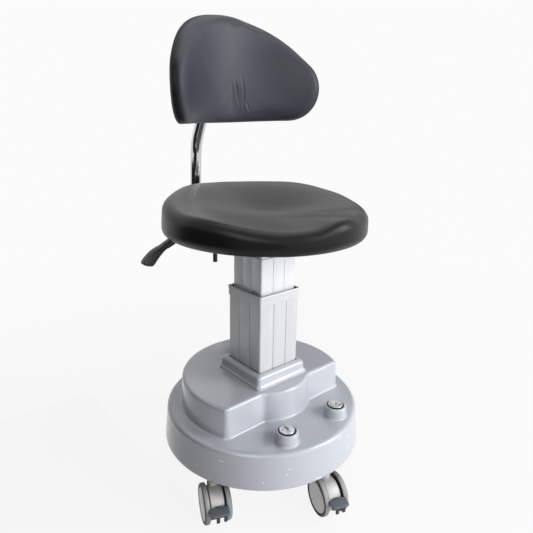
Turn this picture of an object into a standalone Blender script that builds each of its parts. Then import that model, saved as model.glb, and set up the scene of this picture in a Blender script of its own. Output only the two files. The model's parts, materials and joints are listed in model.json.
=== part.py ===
"""Electric surgeon stool: a round base on five casters with two foot buttons, a square column that lifts,
a dished seat that swivels and a wrapped back pad on a bent tube.

Sizes are in metres. The front faces -Y, +X is the sitter's right-hand side seen from behind the front edge,
and the floor is at Z = 0 under the column's axis."""

import math

import bmesh
import bpy
from mathutils import Matrix, Vector

# Fits between pieces
TOUCH_GAP = 0.0003
RUNNING_GAP = 0.0004
PAST_FACE = 0.005
WELD_DISTANCE = 0.00001

# Facets of round shapes
BASE_SEGMENTS = 56
WHEEL_SEGMENTS = 24
ROUND_SEGMENTS = 24
SMALL_SEGMENTS = 12

# Casters, named round the base from the front, each with the way it trails in plan, in degrees from +X
CASTERS = {"front": -108.0, "right": -107.0, "rear_right": -98.0, "rear_left": -110.0, "left": -112.0}
CASTER_INSET = 0.024
CASTER_RING_TURN = 1.8
CASTER_TRAIL = 0.0165
WHEEL_DIAMETER = 0.075
WHEEL_WIDTH = 0.0115
WHEEL_FACE_THICKNESS = 0.003
WHEEL_EDGE_ROUND = 0.002
WHEEL_SIDE_GAP = 0.0016
HUB_DISC_INSET = 0.0055
HOOD_WIDTH = 0.027
HOOD_INSET = 0.0063
HOOD_EDGE_ROUND = 0.0015
AXLE_DIAMETER = 0.012
STEM_DIAMETER = 0.015
STEM_NECK_DIAMETER = 0.011
SOCKET_WALL = 0.004
SOCKET_RISE = 0.003
SOCKET_DEPTH = 0.024
PEDAL_PIVOT_REACH = 0.0175
PEDAL_PIVOT_RISE = 0.017
PEDAL_PIN_DIAMETER = 0.004
PEDAL_EYE_DIAMETER = 0.011
PEDAL_ARM_WIDTH = 0.0125
PEDAL_ARM_HEIGHT = 0.009
PEDAL_WIDTH = 0.036
PEDAL_LENGTH = 0.0125
PEDAL_THICKNESS = 0.009
PEDAL_WHEEL_GAP = 0.0025
PEDAL_DROP = 0.0
PRONG_WIDTH = 0.005
PRONG_SIDES = (0.0, 0.0145)
PRONG_LENGTH = 0.018
PRONG_THICKNESS = 0.004
PEDAL_SWING_ROOM = 0.007

# Base cover and plate
COVER_CLEARANCE = 0.0165
COVER_FOOT_RADIUS = 0.211
COVER_DRAFT = 0.006
COVER_WALL = 0.003
LOWER_WALL_HEIGHT = 0.071
RIM_ROUND = 0.008
TIER_SETBACK = 0.033
TIER_FRONT = 0.079
TIER_BULGE_RADIUS = 0.100
TIER_HEIGHT = 0.063
TIER_ROUND = 0.007
PLINTH_HALF_WIDTH = 0.0652
PLINTH_STEP = 0.0067
PLINTH_LOWER_HEIGHT = 0.0135
PLINTH_UPPER_HEIGHT = 0.014
PLINTH_ROUND = 0.003
COLUMN_GAP = 0.0008
PLATE_RECESS = 0.003
PLATE_THICKNESS = 0.008

# Foot buttons
BUTTON_SIDE = 0.068
BUTTON_SETBACK = 0.0525
BOSS_DIAMETER = 0.045
BOSS_HEIGHT = 0.024
BOSS_ROUND = 0.002
BUTTON_DIAMETER = 0.031
BUTTON_RING_GAP = 0.0006
BUTTON_RECESS = 0.010
BUTTON_PROUD = 0.001
BUTTON_TRAVEL = 0.003
BUTTON_DISH = 0.0015
BUTTON_STEM_DIAMETER = 0.010
BUTTON_STEM_GAP = 0.001
BOSS_LEDGE = 0.003
BOSS_WALL = 0.0035
SWITCH_DIAMETER = 0.031
SWITCH_HEIGHT = 0.034

# Column and lift
COLUMN_SHOWING = 0.142
COLUMN_HALF_WIDTH = 0.051
COLUMN_WALL = 0.003
COLUMN_CORNER_ROUND = 0.004
GROOVE_WIDTH = 0.002
GROOVE_DEPTH = 0.001
COLLAR_HEIGHT = 0.020
COLLAR_WALL = 0.0014
COLLAR_LIP = 0.004
COLLAR_GAP = 0.0012
INNER_HALF_WIDTH = 0.0445
INNER_WALL = 0.003
LIFT_DOWN = 0.070
LIFT_CLEARANCE = 0.004
FOOT_HALF_WIDTH = 0.058
FOOT_HEIGHT = 0.056
FOOT_WALL = 0.008
GEARBOX_SIDE = 0.086
GEARBOX_HEIGHT = 0.045
MOTOR_DIAMETER = 0.052
MOTOR_LENGTH = 0.100
MOTOR_RISE = 0.0005
SCREW_DIAMETER = 0.014
SCREW_LENGTH = 0.262
SCREW_SEAT_DEPTH = 0.020
NUT_DIAMETER = 0.032
NUT_HEIGHT = 0.024
NUT_PLATE = 0.010
UPPER_GLIDE_HEIGHT = 0.026
LOWER_GLIDE_HEIGHT = 0.020
LOWER_GLIDE_RISE = 0.003
CAP_THICKNESS = 0.008
SPIGOT_DIAMETER = 0.025
SPIGOT_HEIGHT = 0.024
BEARING_DIAMETER = 0.068
BEARING_HEIGHT = 0.007

# Power, on the base plate
CONTROL_BOX = Vector((0.070, 0.090, 0.030))
CONTROL_BOX_INSET = 0.096
CONTROL_BOX_REARWARD = 0.025
BATTERY = Vector((0.070, 0.120, 0.050))
BATTERY_INSET = 0.096
BATTERY_REARWARD = 0.030
INLET_DIAMETER = 0.015
INLET_FLANGE_DIAMETER = 0.022
INLET_FLANGE = 0.002
INLET_DEPTH = 0.016
INLET_HEIGHT = 0.038

# Seat: rim heights are above the cushion's underside, angles from the front
SEAT_RADIUS = 0.200
SEAT_FOOT_RADIUS = 0.184
SEAT_CREST_RADIUS = 0.183
SEAT_FOOT_ROUND = 0.016
SEAT_SHOULDER_ROUND = 0.016
SEAT_TURN = -22.0
SEAT_DIP_CREST = 0.038
SEAT_THIGH_RISE = 0.017
SEAT_THIGH_ANGLES = (5.0, 60.0)
SEAT_BACK_RISE = 0.027
SEAT_BACK_ANGLES = (60.0, 150.0)
SEAT_POMMEL_RISE = 0.009
SEAT_POMMEL_ANGLE = 2.0
SEAT_POMMEL_SPREAD = 14.0
SEAT_DISH_HEIGHT = 0.034
SEAT_SEGMENTS = 44
SEAT_RINGS = 20
BOARD_RADIUS = 0.176
BOARD_THICKNESS = 0.012
BOARD_PROUD = 0.002
PAN_SIDE = 0.116
PAN_HEIGHT = 0.0248
PAN_WALL = 0.004

# Back pivot, under the rear of the seat board
PIVOT_Y = 0.135
PIVOT_DROP = 0.0295
PIVOT_PIN_DIAMETER = 0.010
BRACKET_HALF_WIDTH = 0.034
BRACKET_CHEEK = 0.008
BRACKET_WEB = 0.006
BRACKET_LENGTH = 0.046
BRACKET_BELOW_PIN = 0.012
KNUCKLE_EYE_DIAMETER = 0.029
KNUCKLE_WIDTH = 0.036
KNUCKLE_HEIGHT = 0.035
KNUCKLE_LENGTH = 0.052
CLAMP_SCREW_DIAMETER = 0.0105
CLAMP_SCREW_Y = 0.174
CLAMP_SCREW_LENGTH = 0.053
CLAMP_SCREW_SEAT = 0.003

# Back bar: its centre line in the plane X = 0, heights above the pivot
BAR_DIAMETER = 0.025
BAR_SOCKET = 0.022
BAR_REAR_Y = 0.255
BAR_KINK_Y = 0.2445
BAR_KINK_HEIGHT = 0.1915
BAR_TOP_Y = 0.199
BAR_TOP_KINK_HEIGHT = 0.2915
BAR_TOP_HEIGHT = 0.366
BAR_FOOT_BEND = 0.050
BAR_KINK_BEND = 0.120
BAR_BEND_STEPS = 6
BAR_SIDES_RESOLUTION = 3

# Back pad: an outline on a cylinder about a vertical axis in front of it
PAD_HALF_LENGTH = 0.2076
PAD_HEIGHT = 0.1974
PAD_TOP_ROUND = 0.235
PAD_CORNER_ROUND = 0.065
PAD_WRAP_RADIUS = 0.1913
PAD_FOOT_HEIGHT = 0.2392
PAD_CANT = 2.1
PAD_FRONT_DEPTH = 0.024
PAD_BACK_DEPTH = 0.020
PAD_EDGE_POWER = 2.8
PAD_SEGMENTS = 40
PAD_RINGS = 14
PAD_MIDDLE_SHARE = 0.45
BACK_BOARD_SHARE = 0.62
BACK_BOARD_THICKNESS = 0.009
BACK_BOARD_GAP = 0.0008
BACK_BOARD_COLUMNS = 12
BACK_BOARD_ROWS = 4
BACK_CLAMP_REACH = 0.033
BACK_CLAMP_HALF_WIDTH = 0.022
BACK_CLAMP_HEIGHT = 0.064
BACK_CLAMP_WALL = 0.005

# Lever at the left of the bracket
LEVER_ROD_DIAMETER = 0.008
LEVER_EYE_DIAMETER = 0.014
LEVER_EYE_WIDTH = 0.010
LEVER_PIN_DIAMETER = 0.006
LEVER_PIN_OUT = 0.009
LEVER_DROP = 0.020
LEVER_LUG_THICKNESS = 0.008
LEVER_LUG_Y = 0.144
LEVER_BEND_X = -0.108
LEVER_SLOPE = 30.0
LEVER_BEND = 0.012
LEVER_ROD_TAIL = 0.026
GRIP_OFFSET = 0.010
GRIP_LENGTH = 0.083
GRIP_ROOT_RADIUS = 0.0085
GRIP_TIP_RADIUS = 0.0118
GRIP_THICKNESS = 0.015

# Places in plan that follow from the cover's size
CASTER_RING_RADIUS = COVER_FOOT_RADIUS - CASTER_INSET
COVER_RIM_RADIUS = COVER_FOOT_RADIUS - COVER_DRAFT
TIER_RADIUS = COVER_RIM_RADIUS - TIER_SETBACK
BUTTON_FORWARD = COVER_RIM_RADIUS - BUTTON_SETBACK
CONTROL_BOX_PLACE = Vector((CONTROL_BOX_INSET - COVER_FOOT_RADIUS, CONTROL_BOX_REARWARD))
BATTERY_PLACE = Vector((COVER_FOOT_RADIUS - BATTERY_INSET, BATTERY_REARWARD))

# Heights that follow from the sizes
WHEEL_RADIUS = WHEEL_DIAMETER / 2
HOOD_RADIUS = WHEEL_RADIUS - HOOD_INSET
SOCKET_TOP_Z = WHEEL_DIAMETER + SOCKET_RISE
SOCKET_FLOOR_Z = SOCKET_TOP_Z - SOCKET_DEPTH
COVER_EDGE_Z = WHEEL_DIAMETER + COVER_CLEARANCE
DECK_Z = COVER_EDGE_Z + LOWER_WALL_HEIGHT
TIER_Z = DECK_Z + TIER_HEIGHT
PLINTH_STEP_Z = TIER_Z + PLINTH_LOWER_HEIGHT
PLINTH_Z = PLINTH_STEP_Z + PLINTH_UPPER_HEIGHT
COLLAR_FOOT_Z = PLINTH_Z + COLUMN_SHOWING
COLLAR_TOP_Z = COLLAR_FOOT_Z + COLLAR_HEIGHT
PLATE_FOOT_Z = COVER_EDGE_Z + PLATE_RECESS
PLATE_TOP_Z = PLATE_FOOT_Z + PLATE_THICKNESS
ON_PLATE_Z = PLATE_TOP_Z + TOUCH_GAP
FOOT_TOP_Z = ON_PLATE_Z + FOOT_HEIGHT
GEARBOX_TOP_Z = ON_PLATE_Z + GEARBOX_HEIGHT
BOSS_TOP_Z = DECK_Z + BOSS_HEIGHT
LEDGE_Z = BOSS_TOP_Z - BUTTON_RECESS
SWITCH_TOP_Z = LEDGE_Z - BOSS_LEDGE - TOUCH_GAP
COLUMN_FOOT_Z = FOOT_TOP_Z + TOUCH_GAP
COLUMN_TOP_Z = COLLAR_TOP_Z - COLLAR_LIP - TOUCH_GAP
INNER_FOOT_Z = FOOT_TOP_Z + LIFT_DOWN + LIFT_CLEARANCE
INNER_TOP_Z = COLLAR_TOP_Z + LIFT_DOWN + LIFT_CLEARANCE / 2
CAP_FOOT_Z = INNER_TOP_Z + TOUCH_GAP
CAP_TOP_Z = CAP_FOOT_Z + CAP_THICKNESS
BEARING_FOOT_Z = CAP_TOP_Z + TOUCH_GAP
PAN_FOOT_Z = BEARING_FOOT_Z + BEARING_HEIGHT + TOUCH_GAP
BOARD_FOOT_Z = PAN_FOOT_Z + PAN_HEIGHT + TOUCH_GAP
SEAT_FOOT_Z = BOARD_FOOT_Z - BOARD_PROUD
PIVOT_Z = BOARD_FOOT_Z - PIVOT_DROP
COLUMN_BORE = COLUMN_HALF_WIDTH - COLUMN_WALL
INNER_BORE = INNER_HALF_WIDTH - INNER_WALL
BACK_BOARD_OFFSET = PAD_BACK_DEPTH + BACK_BOARD_GAP
BACK_CLAMP_FACE_Y = BAR_TOP_Y - BACK_CLAMP_REACH
PAD_AXIS_Y = BACK_CLAMP_FACE_Y - TOUCH_GAP - BACK_BOARD_THICKNESS - BACK_BOARD_OFFSET - PAD_WRAP_RADIUS


def clear_scene():
    for obj in list(bpy.data.objects):
        bpy.data.objects.remove(obj, do_unlink=True)


def new_collection(name):
    group = bpy.data.collections.new(name)
    bpy.context.scene.collection.children.link(group)
    return group


clear_scene()
STOOL = new_collection("surgeon_stool")
CUTTERS = new_collection("cutters")


def finish(name, colour, roughness, metallic=0.0):
    """A Principled material."""
    material = bpy.data.materials.new(name)
    material.use_nodes = True
    shader = material.node_tree.nodes["Principled BSDF"]
    shader.inputs["Base Color"].default_value = (*colour, 1.0)
    shader.inputs["Roughness"].default_value = roughness
    shader.inputs["Metallic"].default_value = metallic
    return material


COVER_GREY = finish("cover_grey", (0.47, 0.48, 0.50), 0.35)
PLATE_STEEL = finish("plate_steel", (0.10, 0.10, 0.11), 0.6, 0.6)
SATIN_ALUMINIUM = finish("satin_aluminium", (0.62, 0.63, 0.64), 0.38, 1.0)
COLLAR_ALUMINIUM = finish("collar_aluminium", (0.68, 0.69, 0.70), 0.35, 1.0)
NYLON_WHITE = finish("nylon_white", (0.75, 0.75, 0.72), 0.5)
MOTOR_STEEL = finish("motor_steel", (0.22, 0.22, 0.23), 0.45, 0.9)
SCREW_STEEL = finish("screw_steel", (0.45, 0.45, 0.46), 0.3, 1.0)
NUT_BRASS = finish("nut_brass", (0.60, 0.45, 0.20), 0.35, 1.0)
BOX_PLASTIC = finish("box_plastic", (0.04, 0.04, 0.045), 0.55)
BATTERY_BLUE = finish("battery_grey", (0.10, 0.11, 0.13), 0.5)
BUTTON_CHROME = finish("button_chrome", (0.75, 0.76, 0.78), 0.15, 1.0)
TUBE_CHROME = finish("tube_chrome", (0.80, 0.81, 0.82), 0.06, 1.0)
SEAT_LEATHER = finish("seat_leather", (0.018, 0.018, 0.020), 0.42)
BACK_LEATHER = finish("back_leather", (0.022, 0.022, 0.026), 0.42)
PLYWOOD = finish("plywood", (0.42, 0.30, 0.18), 0.7)
BLACK_SHELL = finish("black_shell", (0.02, 0.02, 0.02), 0.5)
BLACK_STEEL = finish("black_steel", (0.03, 0.03, 0.03), 0.5, 0.4)
BLACK_PLASTIC = finish("black_plastic", (0.015, 0.015, 0.016), 0.45)
HOOD_SILVER = finish("hood_silver", (0.62, 0.61, 0.59), 0.35, 0.8)
WHEEL_GREY = finish("wheel_grey", (0.40, 0.39, 0.39), 0.5)
PEDAL_SLATE = finish("pedal_slate", (0.09, 0.11, 0.14), 0.5)


def link(obj, material):
    """Puts a piece in the stool's collection with its material."""
    for group in obj.users_collection:
        group.objects.unlink(obj)
    STOOL.objects.link(obj)
    obj.data.materials.clear()
    obj.data.materials.append(material)
    return obj


def as_cutter(obj):
    """Puts a helper shape among the cutters, out of the model."""
    for group in obj.users_collection:
        group.objects.unlink(obj)
    CUTTERS.objects.link(obj)
    obj.hide_render = True
    obj.display_type = "WIRE"
    return obj


def combine(obj, tool, operation):
    """A Boolean of one mesh with a helper shape."""
    modifier = obj.modifiers.new(f"{operation.lower()} {tool.name}", "BOOLEAN")
    modifier.operation = operation
    modifier.solver = "EXACT"
    modifier.object = as_cutter(tool)


def cut(obj, *tools):
    for tool in tools:
        combine(obj, tool, "DIFFERENCE")


def add(obj, *tools):
    for tool in tools:
        combine(obj, tool, "UNION")


def bevel(obj, width, segments=2, angle=40.0):
    modifier = obj.modifiers.new("edges", "BEVEL")
    modifier.width = width
    modifier.segments = segments
    modifier.limit_method = "ANGLE"
    modifier.angle_limit = math.radians(angle)


def box(name, low, high):
    """A block between two corners."""
    low, high = Vector(low), Vector(high)
    bpy.ops.mesh.primitive_cube_add(size=1.0)
    obj = bpy.context.object
    obj.name = name
    size = high - low
    obj.data.transform(Matrix.Translation((low + high) / 2) @ Matrix.Diagonal((*size, 1.0)))
    return obj


def rod(name, diameter, start, end, segments=ROUND_SEGMENTS):
    """A solid cylinder between two points."""
    start, end = Vector(start), Vector(end)
    along = end - start
    bpy.ops.mesh.primitive_cylinder_add(vertices=segments, radius=diameter / 2, depth=along.length)
    obj = bpy.context.object
    obj.name = name
    turn = Vector((0, 0, 1)).rotation_difference(along).to_matrix().to_4x4()
    obj.data.transform(Matrix.Translation((start + end) / 2) @ turn)
    return obj


def turned(name, profile, segments=ROUND_SEGMENTS):
    """A shape turned about Z from points (radius, height) that run down its outer side."""
    mesh = bpy.data.meshes.new(name)
    edges = [(i, i + 1) for i in range(len(profile) - 1)]
    mesh.from_pydata([(r, 0.0, z) for r, z in profile], edges, [])
    obj = bpy.data.objects.new(name, mesh)
    CUTTERS.objects.link(obj)
    screw = obj.modifiers.new("turn", "SCREW")
    screw.steps = segments
    screw.render_steps = segments
    screw.use_merge_vertices = True
    screw.merge_threshold = WELD_DISTANCE
    return obj


def solid_mesh(obj):
    """The shape with its modifiers and curve settings, as one welded mesh."""
    graph = bpy.context.evaluated_depsgraph_get()
    mesh = bpy.data.meshes.new_from_object(obj.evaluated_get(graph))
    shape = bmesh.new()
    shape.from_mesh(mesh)
    bmesh.ops.remove_doubles(shape, verts=shape.verts, dist=WELD_DISTANCE)
    shape.to_mesh(mesh)
    shape.free()
    return mesh


def prism(name, outlines, low, high):
    """Flat outlines, the later ones holes in the first, raised from one height to another."""
    curve = bpy.data.curves.new(name, "CURVE")
    curve.dimensions = "2D"
    curve.fill_mode = "BOTH"
    curve.extrude = (high - low) / 2
    for outline in outlines:
        spline = curve.splines.new("POLY")
        spline.points.add(len(outline) - 1)
        for point, (x, y) in zip(spline.points, outline):
            point.co = (x, y, 0.0, 1.0)
        spline.use_cyclic_u = True
    flat = bpy.data.objects.new(name + "_outline", curve)
    CUTTERS.objects.link(flat)
    mesh = solid_mesh(flat)
    bpy.data.objects.remove(flat, do_unlink=True)
    mesh.transform(Matrix.Translation((0, 0, (low + high) / 2)))
    obj = bpy.data.objects.new(name, mesh)
    CUTTERS.objects.link(obj)
    return obj


def empty(name, place, turn=0.0):
    """A joint's axis, for the pieces that move on it."""
    pivot = bpy.data.objects.new(name, None)
    STOOL.objects.link(pivot)
    pivot.location = place
    pivot.rotation_euler = (0, 0, turn)
    return pivot


def carry(pivot, *pieces):
    """Pieces modelled in place ride on a joint's empty."""
    bpy.context.view_layer.update()
    for piece in pieces:
        piece.parent = pivot
        piece.matrix_parent_inverse = pivot.matrix_world.inverted()


def arc(centre, radius, start, end, steps):
    """Points of an arc, with angles in radians."""
    angles = [start + (end - start) * i / steps for i in range(steps + 1)]
    return [(centre[0] + radius * math.cos(a), centre[1] + radius * math.sin(a)) for a in angles]


def square(half):
    return [(half, half), (-half, half), (-half, -half), (half, -half)]


def rounded_path(points, radii, steps):
    """A path of straight runs with an arc at each inner corner."""
    path = [points[0]]
    for before, corner, after, radius in zip(points, points[1:], points[2:], radii):
        corner = Vector(corner)
        arrive = (Vector(before) - corner).normalized()
        leave = (Vector(after) - corner).normalized()
        half = arrive.angle(leave) / 2
        centre = corner + (arrive + leave).normalized() * radius / math.sin(half)
        first = corner + arrive * radius / math.tan(half) - centre
        last = corner + leave * radius / math.tan(half) - centre
        for i in range(steps + 1):
            spoke = first.lerp(last, i / steps).normalized() * radius
            path.append(tuple(centre + spoke))
    path.append(points[-1])
    return path


def tube(name, diameter, path, resolution):
    """A bent round bar along a path, with closed ends."""
    curve = bpy.data.curves.new(name, "CURVE")
    curve.dimensions = "3D"
    curve.bevel_depth = diameter / 2
    curve.bevel_resolution = resolution
    curve.use_fill_caps = True
    spline = curve.splines.new("POLY")
    spline.points.add(len(path) - 1)
    for point, place in zip(spline.points, path):
        point.co = (*place, 1.0)
    obj = bpy.data.objects.new(name, curve)
    CUTTERS.objects.link(obj)
    return obj


# Casters
def caster_angle(index):
    return math.radians(CASTER_RING_TURN + 360.0 / len(CASTERS) * index)


def caster_place(index):
    """Where a caster's stem stands in plan."""
    angle = caster_angle(index)
    return Vector((CASTER_RING_RADIUS * math.sin(angle), -CASTER_RING_RADIUS * math.cos(angle), 0.0))


def axle_half_length():
    return HOOD_WIDTH / 2 + WHEEL_SIDE_GAP + WHEEL_WIDTH - WHEEL_FACE_THICKNESS - TOUCH_GAP


def caster_stem():
    neck = STEM_NECK_DIAMETER / 2
    shank = STEM_DIAMETER / 2
    shoulder = PLATE_FOOT_Z - TOUCH_GAP
    foot = SOCKET_FLOOR_Z + TOUCH_GAP
    profile = [(0, PLATE_TOP_Z), (neck, PLATE_TOP_Z), (neck, shoulder), (shank, shoulder), (shank, foot), (0, foot)]
    return turned("stem_shape", profile, SMALL_SEGMENTS)


def caster_hood():
    """The hood between the wheels, about its stem, trailing along +X."""
    hub = Vector((CASTER_TRAIL, 0, WHEEL_RADIUS))
    side = Vector((0, HOOD_WIDTH / 2, 0))
    hood = rod("hood_shape", HOOD_RADIUS * 2, hub - side, hub + side)
    bevel(hood, HOOD_EDGE_ROUND, 1)
    reach = Vector((0, axle_half_length(), 0))
    socket_diameter = STEM_DIAMETER + SOCKET_WALL * 2
    add(
        hood,
        rod("hood_socket", socket_diameter, (0, 0, WHEEL_RADIUS), (0, 0, SOCKET_TOP_Z), SMALL_SEGMENTS),
        rod("hood_axle", AXLE_DIAMETER, hub - reach, hub + reach, SMALL_SEGMENTS),
    )
    pivot = hub + Vector((PEDAL_PIVOT_REACH, 0, PEDAL_PIVOT_RISE))
    slot_half = PEDAL_ARM_WIDTH / 2 + RUNNING_GAP
    eye = PEDAL_EYE_DIAMETER / 2 + RUNNING_GAP * 3
    slot_low = pivot + Vector((-eye, -slot_half, -PEDAL_ARM_HEIGHT - PEDAL_SWING_ROOM))
    slot_high = Vector((hub.x + HOOD_RADIUS + PAST_FACE, slot_half, pivot.z + eye))
    pin_reach = Vector((0, HOOD_WIDTH, 0))
    bore = STEM_DIAMETER + RUNNING_GAP * 2
    cut(
        hood,
        rod("stem_bore", bore, (0, 0, SOCKET_FLOOR_Z), (0, 0, SOCKET_TOP_Z + PAST_FACE), SMALL_SEGMENTS),
        box("pedal_slot", slot_low, slot_high),
        rod("pedal_pin_hole", PEDAL_PIN_DIAMETER + RUNNING_GAP * 2, pivot - pin_reach, pivot + pin_reach, 8),
    )
    return hood


def caster_wheel():
    """A wheel about Z with its outer face up, its tread's facets lying on the wheel's own radius."""
    rim = WHEEL_RADIUS / math.cos(math.pi / WHEEL_SEGMENTS)
    disc = WHEEL_RADIUS - HUB_DISC_INSET
    bore = AXLE_DIAMETER / 2 + RUNNING_GAP
    bore_floor = WHEEL_WIDTH - WHEEL_FACE_THICKNESS
    profile = [
        (0, WHEEL_WIDTH),
        (disc, WHEEL_WIDTH),
        (rim - WHEEL_EDGE_ROUND, WHEEL_WIDTH - WHEEL_EDGE_ROUND / 4),
        (rim, WHEEL_WIDTH - WHEEL_EDGE_ROUND),
        (rim, 0),
        (bore, 0),
        (bore, bore_floor),
        (0, bore_floor),
    ]
    return turned("wheel_shape", profile, WHEEL_SEGMENTS)


def brake_pedal():
    """A pedal about its pin, reaching out along +X past the wheels."""
    plate_back = WHEEL_RADIUS + PEDAL_WHEEL_GAP - PEDAL_PIVOT_REACH
    plate_front = plate_back + PEDAL_LENGTH
    plate_foot = -PEDAL_DROP - PEDAL_THICKNESS
    half_arm = PEDAL_ARM_WIDTH / 2
    pedal = box(
        "pedal_shape",
        (plate_back, -PEDAL_WIDTH / 2, plate_foot),
        (plate_front, PEDAL_WIDTH / 2, -PEDAL_DROP),
    )
    bevel(pedal, PEDAL_THICKNESS / 5, 1)
    pin_half = HOOD_WIDTH / 2 - TOUCH_GAP
    eye = PEDAL_EYE_DIAMETER / 2
    add(
        pedal,
        box("pedal_arm", (-eye / 2, -half_arm, -PEDAL_ARM_HEIGHT), (plate_front - eye, half_arm, -eye / 2)),
        rod("pedal_eye", PEDAL_EYE_DIAMETER, (0, -half_arm, 0), (0, half_arm, 0), SMALL_SEGMENTS),
        rod("pedal_pin", PEDAL_PIN_DIAMETER, (0, -pin_half, 0), (0, pin_half, 0), 8),
    )
    for index, middle in enumerate(PRONG_SIDES):
        low = (plate_back + PRONG_THICKNESS / 2, middle - PRONG_WIDTH / 2, plate_foot - PRONG_LENGTH)
        high = (plate_back + PRONG_THICKNESS * 1.5, middle + PRONG_WIDTH / 2, plate_foot + PEDAL_THICKNESS / 2)
        add(pedal, box(f"pedal_prong{index}", low, high))
    return pedal


def build_casters():
    shapes = {}
    for key, shape in (
        ("stem", caster_stem()),
        ("hood", caster_hood()),
        ("wheel", caster_wheel()),
        ("pedal", brake_pedal()),
    ):
        shapes[key] = solid_mesh(shape)
        as_cutter(shape)
    half_facet = Matrix.Rotation(math.pi / WHEEL_SEGMENTS, 4, "Z")
    shapes["wheel"].transform(half_facet)
    for index, (name, trail) in enumerate(CASTERS.items()):
        pivot = empty(f"caster_{name}_swivel", caster_place(index), math.radians(trail))
        stem = bpy.data.objects.new(f"caster_{name}_stem", shapes["stem"])
        stem.location = caster_place(index)
        link(stem, HOOD_SILVER)
        hood = bpy.data.objects.new(f"caster_{name}_hood", shapes["hood"])
        pedal = bpy.data.objects.new(f"caster_{name}_pedal", shapes["pedal"])
        pedal.location = (CASTER_TRAIL + PEDAL_PIVOT_REACH, 0, WHEEL_RADIUS + PEDAL_PIVOT_RISE)
        wheels = []
        for side, label in ((1, "a"), (-1, "b")):
            wheel = bpy.data.objects.new(f"caster_{name}_wheel_{label}", shapes["wheel"])
            wheel.location = (CASTER_TRAIL, side * (HOOD_WIDTH / 2 + WHEEL_SIDE_GAP), WHEEL_RADIUS)
            wheel.rotation_euler = (-side * math.pi / 2, 0, 0)
            wheels.append(link(wheel, WHEEL_GREY))
        for piece in (link(hood, HOOD_SILVER), link(pedal, PEDAL_SLATE), *wheels):
            piece.parent = pivot


# Base
def cover_radius(height):
    """Outer radius of the cover's drafted wall."""
    share = (height - COVER_EDGE_Z) / LOWER_WALL_HEIGHT
    return COVER_FOOT_RADIUS + (COVER_RIM_RADIUS - COVER_FOOT_RADIUS) * share


def tier_outline(inset):
    """The second tier in plan: a round with a flat front wall."""
    radius = TIER_RADIUS - inset
    wall_end = math.asin((TIER_FRONT - inset) / radius)
    return arc((0, 0), radius, -wall_end, math.pi + wall_end, 40)


def tier_bulge(name, inset, low, high):
    """The round bulge of the tier's front wall, about the column."""
    diameter = (TIER_BULGE_RADIUS - inset) * 2
    return rod(name, diameter, (0, 0, low), (0, 0, high), BASE_SEGMENTS // 2)


def cover_bosses(cover):
    """Cups on the deck, each with a recess for its button and a ledge over its switch."""
    for side in (-1, 1):
        x, y = side * BUTTON_SIDE, -BUTTON_FORWARD
        boss = rod(f"boss{side:+d}", BOSS_DIAMETER, (x, y, DECK_Z - COVER_WALL / 2), (x, y, BOSS_TOP_Z))
        bevel(boss, BOSS_ROUND, 2)
        add(cover, boss)
    for side in (-1, 1):
        x, y = side * BUTTON_SIDE, -BUTTON_FORWARD
        recess = BUTTON_DIAMETER + BUTTON_RING_GAP * 2
        stem_hole = BUTTON_STEM_DIAMETER + BUTTON_STEM_GAP * 2
        inside = BOSS_DIAMETER - BOSS_WALL * 2
        cut(
            cover,
            rod(f"boss_recess{side:+d}", recess, (x, y, LEDGE_Z), (x, y, BOSS_TOP_Z + PAST_FACE)),
            rod(f"boss_hole{side:+d}", stem_hole, (x, y, LEDGE_Z - PAST_FACE), (x, y, LEDGE_Z + PAST_FACE), 12),
            rod(f"boss_inside{side:+d}", inside, (x, y, DECK_Z - PAST_FACE), (x, y, LEDGE_Z - BOSS_LEDGE)),
        )


def inlet_place():
    """Centre of the charge inlet on the cover's rear wall."""
    height = COVER_EDGE_Z + INLET_HEIGHT
    return Vector((0, cover_radius(height), height))


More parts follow.
